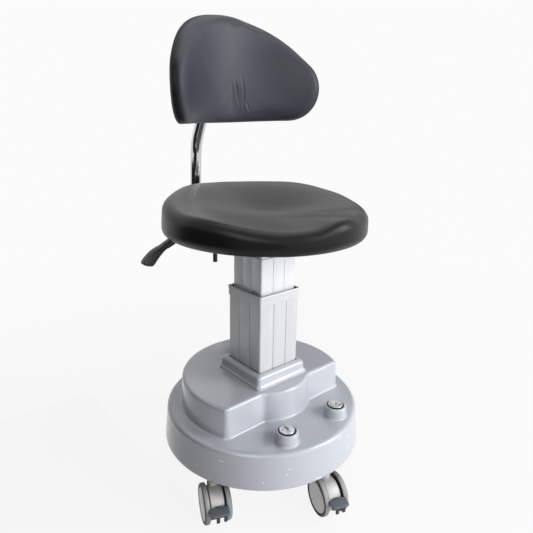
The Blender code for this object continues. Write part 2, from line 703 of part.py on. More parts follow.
def base_cover():
    rim_foot = DECK_Z - RIM_ROUND
    rim = arc((COVER_RIM_RADIUS - RIM_ROUND, rim_foot), RIM_ROUND, math.pi / 2, 0.0, 3)
    wall = [(0, DECK_Z), *rim, (COVER_FOOT_RADIUS, COVER_EDGE_Z), (0, COVER_EDGE_Z)]
    cover = turned("base_cover", wall, BASE_SEGMENTS)
    tier = prism("tier", [tier_outline(0.0)], DECK_Z - COVER_WALL / 2, TIER_Z)
    bulge = tier_bulge("tier_bulge", 0.0, DECK_Z - COVER_WALL / 2, TIER_Z)
    bevel(tier, TIER_ROUND, 2)
    bevel(bulge, TIER_ROUND, 2)
    lower = PLINTH_HALF_WIDTH
    upper = PLINTH_HALF_WIDTH - PLINTH_STEP
    sunk = TIER_Z - COVER_WALL / 2
    step = box("plinth_lower", (-lower, -lower, sunk), (lower, lower, PLINTH_STEP_Z))
    neck = box("plinth_upper", (-upper, -upper, sunk), (upper, upper, PLINTH_Z))
    bevel(step, PLINTH_ROUND, 2)
    bevel(neck, PLINTH_ROUND, 2)
    add(cover, tier, bulge, step, neck)
    cover_bosses(cover)
    ceiling = DECK_Z - COVER_WALL
    below = COVER_EDGE_Z - PAST_FACE
    hollow = [
        (0, ceiling),
        (cover_radius(ceiling) - COVER_WALL - RIM_ROUND / 2, ceiling),
        (cover_radius(rim_foot) - COVER_WALL, rim_foot),
        (cover_radius(below) - COVER_WALL, below),
        (0, below),
    ]
    half = COLUMN_HALF_WIDTH + COLUMN_GAP
    place = inlet_place()
    cut(
        cover,
        turned("cover_hollow", hollow, BASE_SEGMENTS),
        prism("tier_hollow", [tier_outline(COVER_WALL)], ceiling - PAST_FACE, TIER_Z - COVER_WALL),
        tier_bulge("bulge_hollow", COVER_WALL, ceiling - PAST_FACE, TIER_Z - COVER_WALL),
        box("column_opening", (-half, -half, TIER_Z - PAST_FACE * 2), (half, half, PLINTH_Z + PAST_FACE)),
        rod(
            "inlet_hole",
            INLET_DIAMETER + TOUCH_GAP * 2,
            place - Vector((0, INLET_DEPTH, 0)),
            place + Vector((0, INLET_DEPTH, 0)),
            SMALL_SEGMENTS,
        ),
    )
    return link(cover, COVER_GREY)


def base_plate():
    radius = cover_radius(PLATE_TOP_Z) - COVER_WALL - TOUCH_GAP
    plate = rod("base_plate", radius * 2, (0, 0, PLATE_FOOT_Z), (0, 0, PLATE_TOP_Z), BASE_SEGMENTS)
    for index in range(len(CASTERS)):
        place = caster_place(index)
        low = place + Vector((0, 0, PLATE_FOOT_Z - PAST_FACE))
        high = place + Vector((0, 0, PLATE_TOP_Z + PAST_FACE))
        cut(plate, rod(f"stem_hole_{index}", STEM_NECK_DIAMETER + TOUCH_GAP * 2, low, high, SMALL_SEGMENTS))
    return link(plate, PLATE_STEEL)


def charge_inlet():
    place = inlet_place()
    draft = (COVER_FOOT_RADIUS - COVER_RIM_RADIUS) / LOWER_WALL_HEIGHT * INLET_FLANGE_DIAMETER / 2
    face = place.y + draft + TOUCH_GAP
    inlet = rod("charge_inlet", INLET_FLANGE_DIAMETER, (0, face, place.z), (0, face + INLET_FLANGE, place.z))
    inside = (0, place.y - INLET_DEPTH, place.z)
    add(inlet, rod("inlet_barrel", INLET_DIAMETER, inside, (0, face + INLET_FLANGE / 2, place.z), SMALL_SEGMENTS))
    return link(inlet, BOX_PLASTIC)


def foot_button(name, side):
    """A dished cap with a stem that reaches for its switch."""
    radius = BUTTON_DIAMETER / 2
    top = BOSS_TOP_Z + BUTTON_PROUD
    skirt = LEDGE_Z + BUTTON_TRAVEL + TOUCH_GAP
    stem = BUTTON_STEM_DIAMETER / 2
    stem_foot = SWITCH_TOP_Z + BUTTON_TRAVEL + TOUCH_GAP
    profile = [
        (0, top - BUTTON_DISH),
        (radius * 0.55, top - BUTTON_DISH * 0.75),
        (radius - BUTTON_DISH, top),
        (radius, top - BUTTON_DISH),
        (radius, skirt),
        (stem, skirt),
        (stem, stem_foot),
        (0, stem_foot),
    ]
    button = turned(name, profile)
    place = Vector((side * BUTTON_SIDE, -BUTTON_FORWARD, 0))
    button.location = place
    return link(button, BUTTON_CHROME)


def foot_switch(name, side):
    place = Vector((side * BUTTON_SIDE, -BUTTON_FORWARD, SWITCH_TOP_Z))
    switch = rod(name, SWITCH_DIAMETER, place - Vector((0, 0, SWITCH_HEIGHT)), place)
    return link(switch, BOX_PLASTIC)


def on_plate_box(name, size, place, material):
    low = Vector((place.x - size.x / 2, place.y - size.y / 2, ON_PLATE_Z))
    piece = box(name, low, low + size)
    bevel(piece, COVER_WALL, 1)
    return link(piece, material)


def build_base():
    base_cover()
    base_plate()
    charge_inlet()
    for name, side in (("up", -1), ("down", 1)):
        foot_button(f"{name}_button", side)
        foot_switch(f"{name}_switch", side)
    on_plate_box("control_box", CONTROL_BOX, CONTROL_BOX_PLACE, BOX_PLASTIC)
    on_plate_box("battery_pack", BATTERY, BATTERY_PLACE, BATTERY_BLUE)


# Column and lift
def grooved_square(half):
    """A square section with rounded corners and two grooves in each face."""
    outline = []
    for quarter in range(4):
        turn = Matrix.Rotation(quarter * math.pi / 2, 2)
        face = []
        for middle in (-half / 3, half / 3):
            for shift, depth in ((-1, 0), (-0.5, 1), (0.5, 1), (1, 0)):
                face.append((half - depth * GROOVE_DEPTH, middle + shift * GROOVE_WIDTH / 2))
        corner = half - COLUMN_CORNER_ROUND
        face += arc((corner, corner), COLUMN_CORNER_ROUND, 0.0, math.pi / 2, 3)
        outline += [tuple(turn @ Vector(point)) for point in face]
    return outline


def column_foot():
    """The box that stands on the base plate round the gearbox and carries the column."""
    half = FOOT_HALF_WIDTH
    inner = half - FOOT_WALL
    foot = box("column_foot", (-half, -half, ON_PLATE_Z), (half, half, FOOT_TOP_Z))
    motor_z = motor_height()
    window = MOTOR_DIAMETER / 2 + FOOT_WALL / 4
    cut(
        foot,
        box("foot_hollow", (-inner, -inner, ON_PLATE_Z - PAST_FACE), (inner, inner, FOOT_TOP_Z - FOOT_WALL)),
        box("motor_window", (-window, 0, ON_PLATE_Z - PAST_FACE), (window, half + PAST_FACE, motor_z + window)),
        rod("screw_way", SCREW_DIAMETER * 1.5, (0, 0, FOOT_TOP_Z - FOOT_WALL * 2), (0, 0, FOOT_TOP_Z + PAST_FACE)),
    )
    return link(foot, PLATE_STEEL)


def motor_height():
    return ON_PLATE_Z + MOTOR_RISE + MOTOR_DIAMETER / 2


def gearbox():
    half = GEARBOX_SIDE / 2
    case = box("gearbox", (-half, -half, ON_PLATE_Z), (half, half, GEARBOX_TOP_Z))
    bore = SCREW_DIAMETER + RUNNING_GAP * 2
    floor = GEARBOX_TOP_Z - SCREW_SEAT_DEPTH
    cut(case, rod("screw_seat", bore, (0, 0, floor), (0, 0, GEARBOX_TOP_Z + PAST_FACE)))
    return link(case, MOTOR_STEEL)


def lift_motor():
    start = GEARBOX_SIDE / 2 + TOUCH_GAP
    height = motor_height()
    motor = rod("lift_motor", MOTOR_DIAMETER, (0, start, height), (0, start + MOTOR_LENGTH, height))
    bevel(motor, COVER_WALL, 1)
    return link(motor, MOTOR_STEEL)


def column_collar():
    """A trim sleeve over the outer column's top with a lip round the inner column."""
    outer = COLUMN_HALF_WIDTH + COLLAR_WALL + TOUCH_GAP
    sleeve = COLUMN_HALF_WIDTH + TOUCH_GAP
    lip = INNER_HALF_WIDTH + COLLAR_GAP
    collar = box("column_collar", (-outer, -outer, COLLAR_FOOT_Z), (outer, outer, COLLAR_TOP_Z))
    bevel(collar, COLLAR_WALL, 2)
    under_lip = COLUMN_TOP_Z + TOUCH_GAP
    cut(
        collar,
        box("collar_sleeve", (-sleeve, -sleeve, COLLAR_FOOT_Z - PAST_FACE), (sleeve, sleeve, under_lip)),
        box("collar_mouth", (-lip, -lip, COLLAR_FOOT_Z), (lip, lip, COLLAR_TOP_Z + PAST_FACE)),
    )
    return link(collar, COLLAR_ALUMINIUM)


def glide(name, low, height):
    """A nylon frame that fills the gap between the two columns."""
    outer = COLUMN_BORE - TOUCH_GAP
    inner = INNER_HALF_WIDTH + TOUCH_GAP
    return link(prism(name, [square(outer), square(inner)], low, low + height), NYLON_WHITE)


def lead_screw():
    foot = GEARBOX_TOP_Z - SCREW_SEAT_DEPTH + TOUCH_GAP
    return link(rod("lead_screw", SCREW_DIAMETER, (0, 0, foot), (0, 0, foot + SCREW_LENGTH)), SCREW_STEEL)


def lead_nut():
    """A plate across the inner column's foot with the nut in its middle."""
    half = INNER_BORE - TOUCH_GAP
    nut = box("lead_nut", (-half, -half, INNER_FOOT_Z), (half, half, INNER_FOOT_Z + NUT_PLATE))
    top = INNER_FOOT_Z + NUT_HEIGHT
    add(nut, rod("nut_body", NUT_DIAMETER, (0, 0, INNER_FOOT_Z + NUT_PLATE / 2), (0, 0, top)))
    bore = SCREW_DIAMETER + RUNNING_GAP * 2
    cut(nut, rod("nut_bore", bore, (0, 0, INNER_FOOT_Z - PAST_FACE), (0, 0, top + PAST_FACE)))
    return link(nut, NUT_BRASS)


def column_cap():
    half = INNER_HALF_WIDTH
    cap = box("column_cap", (-half, -half, CAP_FOOT_Z), (half, half, CAP_TOP_Z))
    bevel(cap, COLUMN_CORNER_ROUND / 2, 1)
    add(cap, rod("cap_spigot", SPIGOT_DIAMETER, (0, 0, CAP_FOOT_Z + CAP_THICKNESS / 2), (0, 0, CAP_TOP_Z + SPIGOT_HEIGHT)))
    return link(cap, PLATE_STEEL)


def swivel_bearing():
    outer = BEARING_DIAMETER / 2
    inner = SPIGOT_DIAMETER / 2 + RUNNING_GAP
    top = BEARING_FOOT_Z + BEARING_HEIGHT
    profile = [(inner, top), (outer, top), (outer, BEARING_FOOT_Z), (inner, BEARING_FOOT_Z), (inner, top)]
    return link(turned("swivel_bearing", profile), SCREW_STEEL)


def build_column():
    column_foot()
    gearbox()
    lift_motor()
    outer = [grooved_square(COLUMN_HALF_WIDTH), square(COLUMN_BORE)]
    link(prism("outer_column", outer, COLUMN_FOOT_Z, COLUMN_TOP_Z), SATIN_ALUMINIUM)
    column_collar()
    glide("upper_glide", COLUMN_TOP_Z - UPPER_GLIDE_HEIGHT, UPPER_GLIDE_HEIGHT)
    screw_axis = empty("lead_screw_axis", (0, 0, COLUMN_FOOT_Z))
    carry(screw_axis, lead_screw())
    lift_axis = empty("lift_axis", (0, 0, INNER_FOOT_Z))
    inner = [grooved_square(INNER_HALF_WIDTH), square(INNER_BORE)]
    inner_column = link(prism("inner_column", inner, INNER_FOOT_Z, INNER_TOP_Z), SATIN_ALUMINIUM)
    lower_glide = glide("lower_glide", INNER_FOOT_Z + LOWER_GLIDE_RISE, LOWER_GLIDE_HEIGHT)
    carry(lift_axis, inner_column, lower_glide, lead_nut(), column_cap(), swivel_bearing())
    return lift_axis


# Seat
def smooth_step(value):
    value = min(max(value, 0.0), 1.0)
    return value * value * (3 - 2 * value)


def seat_crest(angle):
    """Height of the rim's crest above the underside, by the angle from the front in degrees."""
    turned = abs((angle - SEAT_TURN + 180.0) % 360.0 - 180.0)
    thigh_start, thigh_end = SEAT_THIGH_ANGLES
    back_start, back_end = SEAT_BACK_ANGLES
    thigh = SEAT_THIGH_RISE * smooth_step((turned - thigh_start) / (thigh_end - thigh_start))
    back = SEAT_BACK_RISE * smooth_step((turned - back_start) / (back_end - back_start))
    pommel = SEAT_POMMEL_RISE * math.exp(-(((angle - SEAT_POMMEL_ANGLE) / SEAT_POMMEL_SPREAD) ** 2))
    return SEAT_DIP_CREST + thigh + back + pommel


def seat_section(share, crest):
    """A point (radius, height) of the seat's section, from 0 at the dish's middle to 1 under the seat's middle."""
    dish_end, shoulder_end, side_end, foot_end = 0.45, 0.6, 0.65, 0.8
    if share <= dish_end:
        along = share / dish_end
        height = SEAT_DISH_HEIGHT + (crest - SEAT_DISH_HEIGHT) * smooth_step(along)
        return SEAT_CREST_RADIUS * along, height
    if share < side_end:
        turn = min((share - dish_end) / (shoulder_end - dish_end), 1.0) * math.pi / 2
        radius = SEAT_CREST_RADIUS + (SEAT_RADIUS - SEAT_CREST_RADIUS) * math.sin(turn)
        return radius, crest - SEAT_SHOULDER_ROUND * (1 - math.cos(turn))
    if share <= foot_end:
        turn = (share - side_end) / (foot_end - side_end) * math.pi / 2
        radius = SEAT_FOOT_RADIUS + (SEAT_RADIUS - SEAT_FOOT_RADIUS) * math.cos(turn)
        return radius, SEAT_FOOT_ROUND * (1 - math.sin(turn))
    return SEAT_FOOT_RADIUS * (1 - share) / (1 - foot_end), 0.0


def round_form(name, segments, rings, shape):
    """A sphere whose points are moved to shape(angle round Z, share from the top pole to the lower one)."""
    form = bmesh.new()
    bmesh.ops.create_uvsphere(form, u_segments=segments, v_segments=rings, radius=1.0)
    for vertex in form.verts:
        share = round(math.acos(max(-1.0, min(1.0, vertex.co.z))) / math.pi * rings) / rings
        vertex.co = shape(math.atan2(vertex.co.y, vertex.co.x), share)
    mesh = bpy.data.meshes.new(name)
    form.to_mesh(mesh)
    form.free()
    mesh.shade_smooth()
    obj = bpy.data.objects.new(name, mesh)
    CUTTERS.objects.link(obj)
    return obj


def seat_cushion():
    def shape(angle, share):
        from_front = math.degrees(math.atan2(math.cos(angle), -math.sin(angle)))
        radius, height = seat_section(share, seat_crest(from_front))
        return Vector((radius * math.cos(angle), radius * math.sin(angle), SEAT_FOOT_Z + height))

    cushion = round_form("seat_cushion", SEAT_SEGMENTS, SEAT_RINGS, shape)
    recess_top = BOARD_FOOT_Z + BOARD_THICKNESS + TOUCH_GAP
    recess = (BOARD_RADIUS + TOUCH_GAP) * 2
    cut(
        cushion,
        rod("board_recess", recess, (0, 0, SEAT_FOOT_Z - PAST_FACE), (0, 0, recess_top), SEAT_SEGMENTS),
    )
    return link(cushion, SEAT_LEATHER)


def seat_board():
    top = BOARD_FOOT_Z + BOARD_THICKNESS
    return link(rod("seat_board", BOARD_RADIUS * 2, (0, 0, BOARD_FOOT_Z), (0, 0, top), SEAT_SEGMENTS), PLYWOOD)


def seat_plate():
    """A pressed pan that turns on the column's spigot and is screwed under the board."""
    half = PAN_SIDE / 2
    inner = half - PAN_WALL
    floor = PAN_FOOT_Z + PAN_WALL
    pan = box("seat_plate", (-half, -half, PAN_FOOT_Z), (half, half, PAN_FOOT_Z + PAN_HEIGHT))
    bevel(pan, PAN_WALL / 2, 1)
    bore = SPIGOT_DIAMETER + RUNNING_GAP * 2
    cut(
        pan,
        box("pan_hollow", (-inner, -inner, floor), (inner, inner, floor + PAN_HEIGHT)),
        rod("pan_bore", bore, (0, 0, PAN_FOOT_Z - PAST_FACE), (0, 0, floor + PAST_FACE)),
    )
    return link(pan, BLACK_STEEL)


def tilt_bracket():
    """Two cheeks under a web, with a lug at the left for the lever."""
    half = BRACKET_HALF_WIDTH
    inner = half - BRACKET_CHEEK
    front = PIVOT_Y - BRACKET_LENGTH / 2
    back = PIVOT_Y + BRACKET_LENGTH / 2
    foot = PIVOT_Z - BRACKET_BELOW_PIN
    top = BOARD_FOOT_Z - TOUCH_GAP
    bracket = box("tilt_bracket", (-half, front, foot), (half, back, top))
    pivot = lever_pivot()
    lug_half = LEVER_EYE_DIAMETER / 2
    lug_low = (pivot.x - lug_half, LEVER_LUG_Y - LEVER_LUG_THICKNESS, pivot.z - lug_half)
    lug_high = (-half + BRACKET_CHEEK / 2, LEVER_LUG_Y, pivot.z + lug_half)
    pin_end = pivot + Vector((0, LEVER_EYE_WIDTH / 2, 0))
    pin_start = Vector((pivot.x, LEVER_LUG_Y - LEVER_LUG_THICKNESS / 2, pivot.z))
    add(
        bracket,
        box("lever_lug", lug_low, lug_high),
        rod("lever_pin", LEVER_PIN_DIAMETER, pin_start, pin_end, SMALL_SEGMENTS),
    )
    hole = PIVOT_PIN_DIAMETER + TOUCH_GAP * 2
    across = half + PAST_FACE
    cut(
        bracket,
        box("bracket_way", (-inner, front - PAST_FACE, foot - PAST_FACE), (inner, back + PAST_FACE, top - BRACKET_WEB)),
        rod("bracket_hole", hole, (-across, PIVOT_Y, PIVOT_Z), (across, PIVOT_Y, PIVOT_Z), SMALL_SEGMENTS),
    )
    return link(bracket, BLACK_STEEL)


def tilt_pin():
    half = BRACKET_HALF_WIDTH + BRACKET_CHEEK / 2
    start, end = (-half, PIVOT_Y, PIVOT_Z), (half, PIVOT_Y, PIVOT_Z)
    return link(rod("tilt_pin", PIVOT_PIN_DIAMETER, start, end, SMALL_SEGMENTS), SCREW_STEEL)


def build_seat(lift_axis):
    swivel = empty("seat_swivel_axis", (0, 0, BEARING_FOOT_Z))
    carry(lift_axis, swivel)
    carry(swivel, seat_plate(), seat_board(), seat_cushion(), tilt_bracket(), tilt_pin())
    return swivel


# Back
def bar_socket_end():
    return PIVOT_Y + KNUCKLE_LENGTH - BAR_SOCKET


def bar_knuckle():
    """The eye on the tilt pin and the socket that holds the back bar."""
    eye_half = BRACKET_HALF_WIDTH - BRACKET_CHEEK - RUNNING_GAP
    rear = PIVOT_Y + KNUCKLE_LENGTH
    low = (-KNUCKLE_WIDTH / 2, PIVOT_Y, PIVOT_Z - KNUCKLE_HEIGHT / 2)
    knuckle = box("bar_knuckle", low, (KNUCKLE_WIDTH / 2, rear, PIVOT_Z + KNUCKLE_HEIGHT / 2))
    bevel(knuckle, BRACKET_CHEEK / 4, 1)
    add(knuckle, rod("knuckle_eye", KNUCKLE_EYE_DIAMETER, (-eye_half, PIVOT_Y, PIVOT_Z), (eye_half, PIVOT_Y, PIVOT_Z)))
    pin = PIVOT_PIN_DIAMETER + RUNNING_GAP * 2
    across = BRACKET_HALF_WIDTH
    socket = BAR_DIAMETER + TOUCH_GAP * 2
    screw_top = PIVOT_Z - KNUCKLE_HEIGHT / 2 + CLAMP_SCREW_SEAT + TOUCH_GAP
    cut(
        knuckle,
        rod("knuckle_bore", pin, (-across, PIVOT_Y, PIVOT_Z), (across, PIVOT_Y, PIVOT_Z), SMALL_SEGMENTS),
        rod("bar_way", socket, (0, bar_socket_end() - TOUCH_GAP, PIVOT_Z), (0, rear + PAST_FACE, PIVOT_Z)),
        rod(
            "clamp_screw_hole",
            CLAMP_SCREW_DIAMETER + TOUCH_GAP * 2,
            (0, CLAMP_SCREW_Y, PIVOT_Z - KNUCKLE_HEIGHT),
            (0, CLAMP_SCREW_Y, screw_top),
            SMALL_SEGMENTS,
        ),
    )
    return link(knuckle, BLACK_STEEL)


def back_clamp_screw():
    top = PIVOT_Z - KNUCKLE_HEIGHT / 2 + CLAMP_SCREW_SEAT
    foot = top - CLAMP_SCREW_SEAT - CLAMP_SCREW_LENGTH
    screw = rod("back_clamp_screw", CLAMP_SCREW_DIAMETER, (0, CLAMP_SCREW_Y, foot), (0, CLAMP_SCREW_Y, top), SMALL_SEGMENTS)
    return link(screw, BLACK_PLASTIC)


def bar_path():
    corners = [
        (0, bar_socket_end(), PIVOT_Z),
        (0, BAR_REAR_Y, PIVOT_Z),
        (0, BAR_KINK_Y, PIVOT_Z + BAR_KINK_HEIGHT),
        (0, BAR_TOP_Y, PIVOT_Z + BAR_TOP_KINK_HEIGHT),
        (0, BAR_TOP_Y, PIVOT_Z + BAR_TOP_HEIGHT),
    ]
    bends = (BAR_FOOT_BEND, BAR_KINK_BEND, BAR_FOOT_BEND)
    return rounded_path(corners, bends, BAR_BEND_STEPS)


def back_clamp():
    """A block behind the pad that the bar's end runs up into."""
    half = BACK_CLAMP_HALF_WIDTH
    top = PIVOT_Z + BAR_TOP_HEIGHT + BACK_CLAMP_WALL
    foot = top - BACK_CLAMP_HEIGHT
    rear = BAR_TOP_Y + BAR_DIAMETER / 2 + BACK_CLAMP_WALL
    clamp = box("back_clamp", (-half, BACK_CLAMP_FACE_Y, foot), (half, rear, top))
    bevel(clamp, BACK_CLAMP_WALL / 2, 1)
    bore = BAR_DIAMETER + TOUCH_GAP * 2
    bore_top = PIVOT_Z + BAR_TOP_HEIGHT + TOUCH_GAP
    cut(clamp, rod("clamp_bore", bore, (0, BAR_TOP_Y, foot - PAST_FACE), (0, BAR_TOP_Y, bore_top)))
    return link(clamp, BLACK_STEEL)


def pad_corner_angles():
    """The top arc and the corner arcs of the pad's outline meet where one line touches both circles."""
    top_centre = Vector((0.0, PAD_HEIGHT - PAD_TOP_ROUND))
    corner_centre = Vector((PAD_HALF_LENGTH - PAD_CORNER_ROUND, PAD_CORNER_ROUND))
    apart = corner_centre - top_centre
    lean = math.acos((PAD_TOP_ROUND - PAD_CORNER_ROUND) / apart.length)
    return top_centre, corner_centre, math.atan2(apart.y, apart.x) + lean


def pad_top(along):
    """Height of the pad's outline over a place along it."""
    top_centre, corner_centre, meet = pad_corner_angles()
    along = abs(along)
    top_end = top_centre.x + PAD_TOP_ROUND * math.cos(meet)
    corner_start = corner_centre.x + PAD_CORNER_ROUND * math.cos(meet)
    if along <= top_end:
        return top_centre.y + math.sqrt(PAD_TOP_ROUND**2 - along**2)
    if along >= corner_start:
        return corner_centre.y + math.sqrt(max(PAD_CORNER_ROUND**2 - (along - corner_centre.x) ** 2, 0.0))
    share = (along - top_end) / (corner_start - top_end)
    low = corner_centre.y + PAD_CORNER_ROUND * math.sin(meet)
    high = top_centre.y + PAD_TOP_ROUND * math.sin(meet)
    return high + (low - high) * share


def pad_foot(along):
    corner_x = PAD_HALF_LENGTH - PAD_CORNER_ROUND
    past = max(abs(along) - corner_x, 0.0)
    return PAD_CORNER_ROUND - math.sqrt(max(PAD_CORNER_ROUND**2 - past**2, 0.0))


def pad_edge(angle):
    """The outline's point in a direction from the pad's middle, found by halving."""
    middle = PAD_HEIGHT * PAD_MIDDLE_SHARE
    near, far = 0.0, PAD_HALF_LENGTH * 1.5
    for _ in range(40):
        reach = (near + far) / 2
        along, height = reach * math.cos(angle), middle + reach * math.sin(angle)
        inside = abs(along) < PAD_HALF_LENGTH and pad_foot(along) < height < pad_top(along)
        near, far = (reach, far) if inside else (near, reach)
    return near * math.cos(angle), middle, near * math.sin(angle)


def wrapped(along, height, depth):
    """A place on the pad's cylinder, with the pad's cant; depth is positive towards the back."""
    middle = PAD_HEIGHT * PAD_MIDDLE_SHARE
    cant, rise = math.radians(PAD_CANT), height - middle
    level = middle + along * math.sin(cant) + rise * math.cos(cant)
    turn = (along * math.cos(cant) - rise * math.sin(cant)) / PAD_WRAP_RADIUS
    radius = PAD_WRAP_RADIUS + depth
    return Vector((radius * math.sin(turn), PAD_AXIS_Y + radius * math.cos(turn), PIVOT_Z + PAD_FOOT_HEIGHT + level))


def back_cushion():
    def shape(angle, share):
        along, middle, rise = pad_edge(angle)
        turn = share * math.pi
        reach = abs(math.sin(turn)) ** (2 / PAD_EDGE_POWER)
        depth = abs(math.cos(turn)) ** (2 / PAD_EDGE_POWER)
        depth *= -PAD_FRONT_DEPTH if share < 0.5 else PAD_BACK_DEPTH
        return wrapped(along * reach, middle + rise * reach, depth)

    return link(round_form("back_cushion", PAD_SEGMENTS, PAD_RINGS, shape), BACK_LEATHER)


def back_board():
    """A curved plate behind the pad, from a flat grid trimmed to the pad's outline."""
    plate = bmesh.new()
    bmesh.ops.create_grid(plate, x_segments=BACK_BOARD_COLUMNS, y_segments=BACK_BOARD_ROWS, size=1.0)
    middle = PAD_HEIGHT * PAD_MIDDLE_SHARE
    for vertex in plate.verts:
        along = vertex.co.x * (PAD_HALF_LENGTH - PAD_CORNER_ROUND / 2)
        low, high = pad_foot(along), pad_top(along)
        height = low + (high - low) * (vertex.co.y + 1) / 2
        height = middle + (height - middle) * BACK_BOARD_SHARE
        vertex.co = wrapped(along * BACK_BOARD_SHARE, height, BACK_BOARD_OFFSET)
    bmesh.ops.recalc_face_normals(plate, faces=plate.faces)
    mesh = bpy.data.meshes.new("back_board")
    plate.to_mesh(mesh)
    plate.free()
    board = bpy.data.objects.new("back_board", mesh)
    solidify = board.modifiers.new("thickness", "SOLIDIFY")
    solidify.thickness = BACK_BOARD_THICKNESS
    facing_back = mesh.polygons[0].normal.y > 0
    solidify.offset = 1.0 if facing_back else -1.0
    return link(board, BLACK_SHELL)


def build_back(swivel):
    tilt = empty("back_tilt_axis", (0, PIVOT_Y, PIVOT_Z))
    carry(swivel, tilt)
    bar = link(tube("back_bar", BAR_DIAMETER, bar_path(), BAR_SIDES_RESOLUTION), TUBE_CHROME)
    carry(tilt, bar_knuckle(), back_clamp_screw(), bar, back_clamp(), back_cushion(), back_board())


# Lever
def lever_pivot():
    y = LEVER_LUG_Y + TOUCH_GAP + LEVER_EYE_WIDTH / 2
    return Vector((-BRACKET_HALF_WIDTH - LEVER_PIN_OUT, y, BOARD_FOOT_Z - LEVER_DROP))


def lever_slope():
    slope = math.radians(LEVER_SLOPE)
    return Vector((-math.cos(slope), 0, -math.sin(slope)))


def lever_rod():
    pivot = lever_pivot()
    bend = Vector((LEVER_BEND_X, pivot.y, pivot.z))
    end = bend + lever_slope() * LEVER_ROD_TAIL
    start = pivot - Vector((LEVER_EYE_DIAMETER / 2 - LEVER_PIN_DIAMETER / 4, 0, 0))
    path = rounded_path([tuple(start), tuple(bend), tuple(end)], [LEVER_BEND], BAR_BEND_STEPS)
    guide = tube("lever_rod_line", LEVER_ROD_DIAMETER, path, 1)
    rod_shape = bpy.data.objects.new("lever_rod", solid_mesh(guide))
    CUTTERS.objects.link(rod_shape)
    bpy.data.objects.remove(guide, do_unlink=True)
    half = Vector((0, LEVER_EYE_WIDTH / 2, 0))
    past = half * 2
    hole = LEVER_PIN_DIAMETER + RUNNING_GAP * 2
    add(rod_shape, rod("lever_eye", LEVER_EYE_DIAMETER, pivot - half, pivot + half, SMALL_SEGMENTS))
    cut(rod_shape, rod("lever_eye_hole", hole, pivot - past, pivot + past, SMALL_SEGMENTS))
    return link(rod_shape, BLACK_STEEL)


def lever_grip():
    """A flat paddle on the rod's sloping end."""
    pivot = lever_pivot()
    slope = lever_slope()
    bend = Vector((LEVER_BEND_X, pivot.y, pivot.z))
    root = bend + slope * GRIP_OFFSET
    tip_centre = GRIP_LENGTH - GRIP_TIP_RADIUS
    lean = math.acos((GRIP_ROOT_RADIUS - GRIP_TIP_RADIUS) / (tip_centre - GRIP_ROOT_RADIUS))
    outline = arc((GRIP_ROOT_RADIUS, 0), GRIP_ROOT_RADIUS, lean, 2 * math.pi - lean, 8)
    outline += arc((tip_centre, 0), GRIP_TIP_RADIUS, -lean, lean, 8)
    grip = prism("lever_grip", [outline], -GRIP_THICKNESS / 2, GRIP_THICKNESS / 2)
    across = Vector((0, 1, 0))
    frame = Matrix((slope, across, slope.cross(across))).transposed().to_4x4()
    grip.data.transform(Matrix.Translation(root) @ frame)
    bevel(grip, GRIP_THICKNESS / 4, 2)
    socket_end = bend + slope * (LEVER_ROD_TAIL + TOUCH_GAP)
    socket = LEVER_ROD_DIAMETER + TOUCH_GAP * 2
    cut(grip, rod("grip_socket", socket, root - slope * PAST_FACE, socket_end, SMALL_SEGMENTS))
    return link(grip, BLACK_PLASTIC)


def build_lever(swivel):
    lift = empty("lever_axis", lever_pivot())
    carry(swivel, lift)
    carry(lift, lever_rod(), lever_grip())


def main():
    build_casters()
    build_base()
    lift_axis = build_column()
    swivel = build_seat(lift_axis)
    build_back(swivel)
    build_lever(swivel)


main()
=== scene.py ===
"""Looks of the electric surgeon stool, built round its packed parts and laid out as an add-on."""

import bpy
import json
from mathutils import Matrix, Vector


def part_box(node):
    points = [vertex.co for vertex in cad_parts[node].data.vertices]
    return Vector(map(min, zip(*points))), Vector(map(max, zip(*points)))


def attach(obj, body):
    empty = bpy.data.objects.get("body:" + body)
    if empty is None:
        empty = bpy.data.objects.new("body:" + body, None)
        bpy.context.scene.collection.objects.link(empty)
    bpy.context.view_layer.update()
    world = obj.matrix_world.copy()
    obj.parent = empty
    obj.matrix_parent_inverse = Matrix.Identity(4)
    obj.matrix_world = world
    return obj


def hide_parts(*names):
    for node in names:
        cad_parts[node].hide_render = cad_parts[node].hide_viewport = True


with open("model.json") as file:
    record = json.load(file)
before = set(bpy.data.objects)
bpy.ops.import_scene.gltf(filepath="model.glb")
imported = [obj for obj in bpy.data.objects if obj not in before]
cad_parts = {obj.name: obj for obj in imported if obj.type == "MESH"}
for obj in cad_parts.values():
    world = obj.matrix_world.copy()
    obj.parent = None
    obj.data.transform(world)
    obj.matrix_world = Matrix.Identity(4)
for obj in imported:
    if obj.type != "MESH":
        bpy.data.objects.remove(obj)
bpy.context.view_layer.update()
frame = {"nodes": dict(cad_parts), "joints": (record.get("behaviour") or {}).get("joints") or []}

import json
import math

import bmesh
import bpy
from bpy.props import FloatProperty, FloatVectorProperty, IntProperty, PointerProperty
from mathutils import Matrix, Vector

bl_info = {
    "name": "Surgeon stool looks",
    "version": (1, 0, 0),
    "blender": (4, 5, 0),
    "location": "View3D > Sidebar > Stool",
    "description": "Models and finishes the pieces of an electric surgeon stool on its packed frame",
    "category": "Object",
}

JOINTS = {joint["name"]: Vector(joint["pos_m"]) for joint in frame["joints"] if "pos_m" in joint}
CASTER_NAMES = ("front", "right", "rear_right", "rear_left", "left")
COVER_LOW, COVER_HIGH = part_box("base_cover")
SEAT_LOW, SEAT_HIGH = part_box("seat_cushion")
PAD_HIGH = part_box("back_cushion")[1]
PIVOT = JOINTS["back_tilt"]
CORNERS = (45, 135, 225, 315)
WELD = 0.000002
CHROME = (0.62, 0.63, 0.65)
# Black of the real plastic sleeves, also used as painted shadow in the cover's recesses.
BLACK_PLASTIC_AND_SHADOW = (0.012, 0.012, 0.013)
BLACK_ENAMEL = (0.022, 0.022, 0.023)


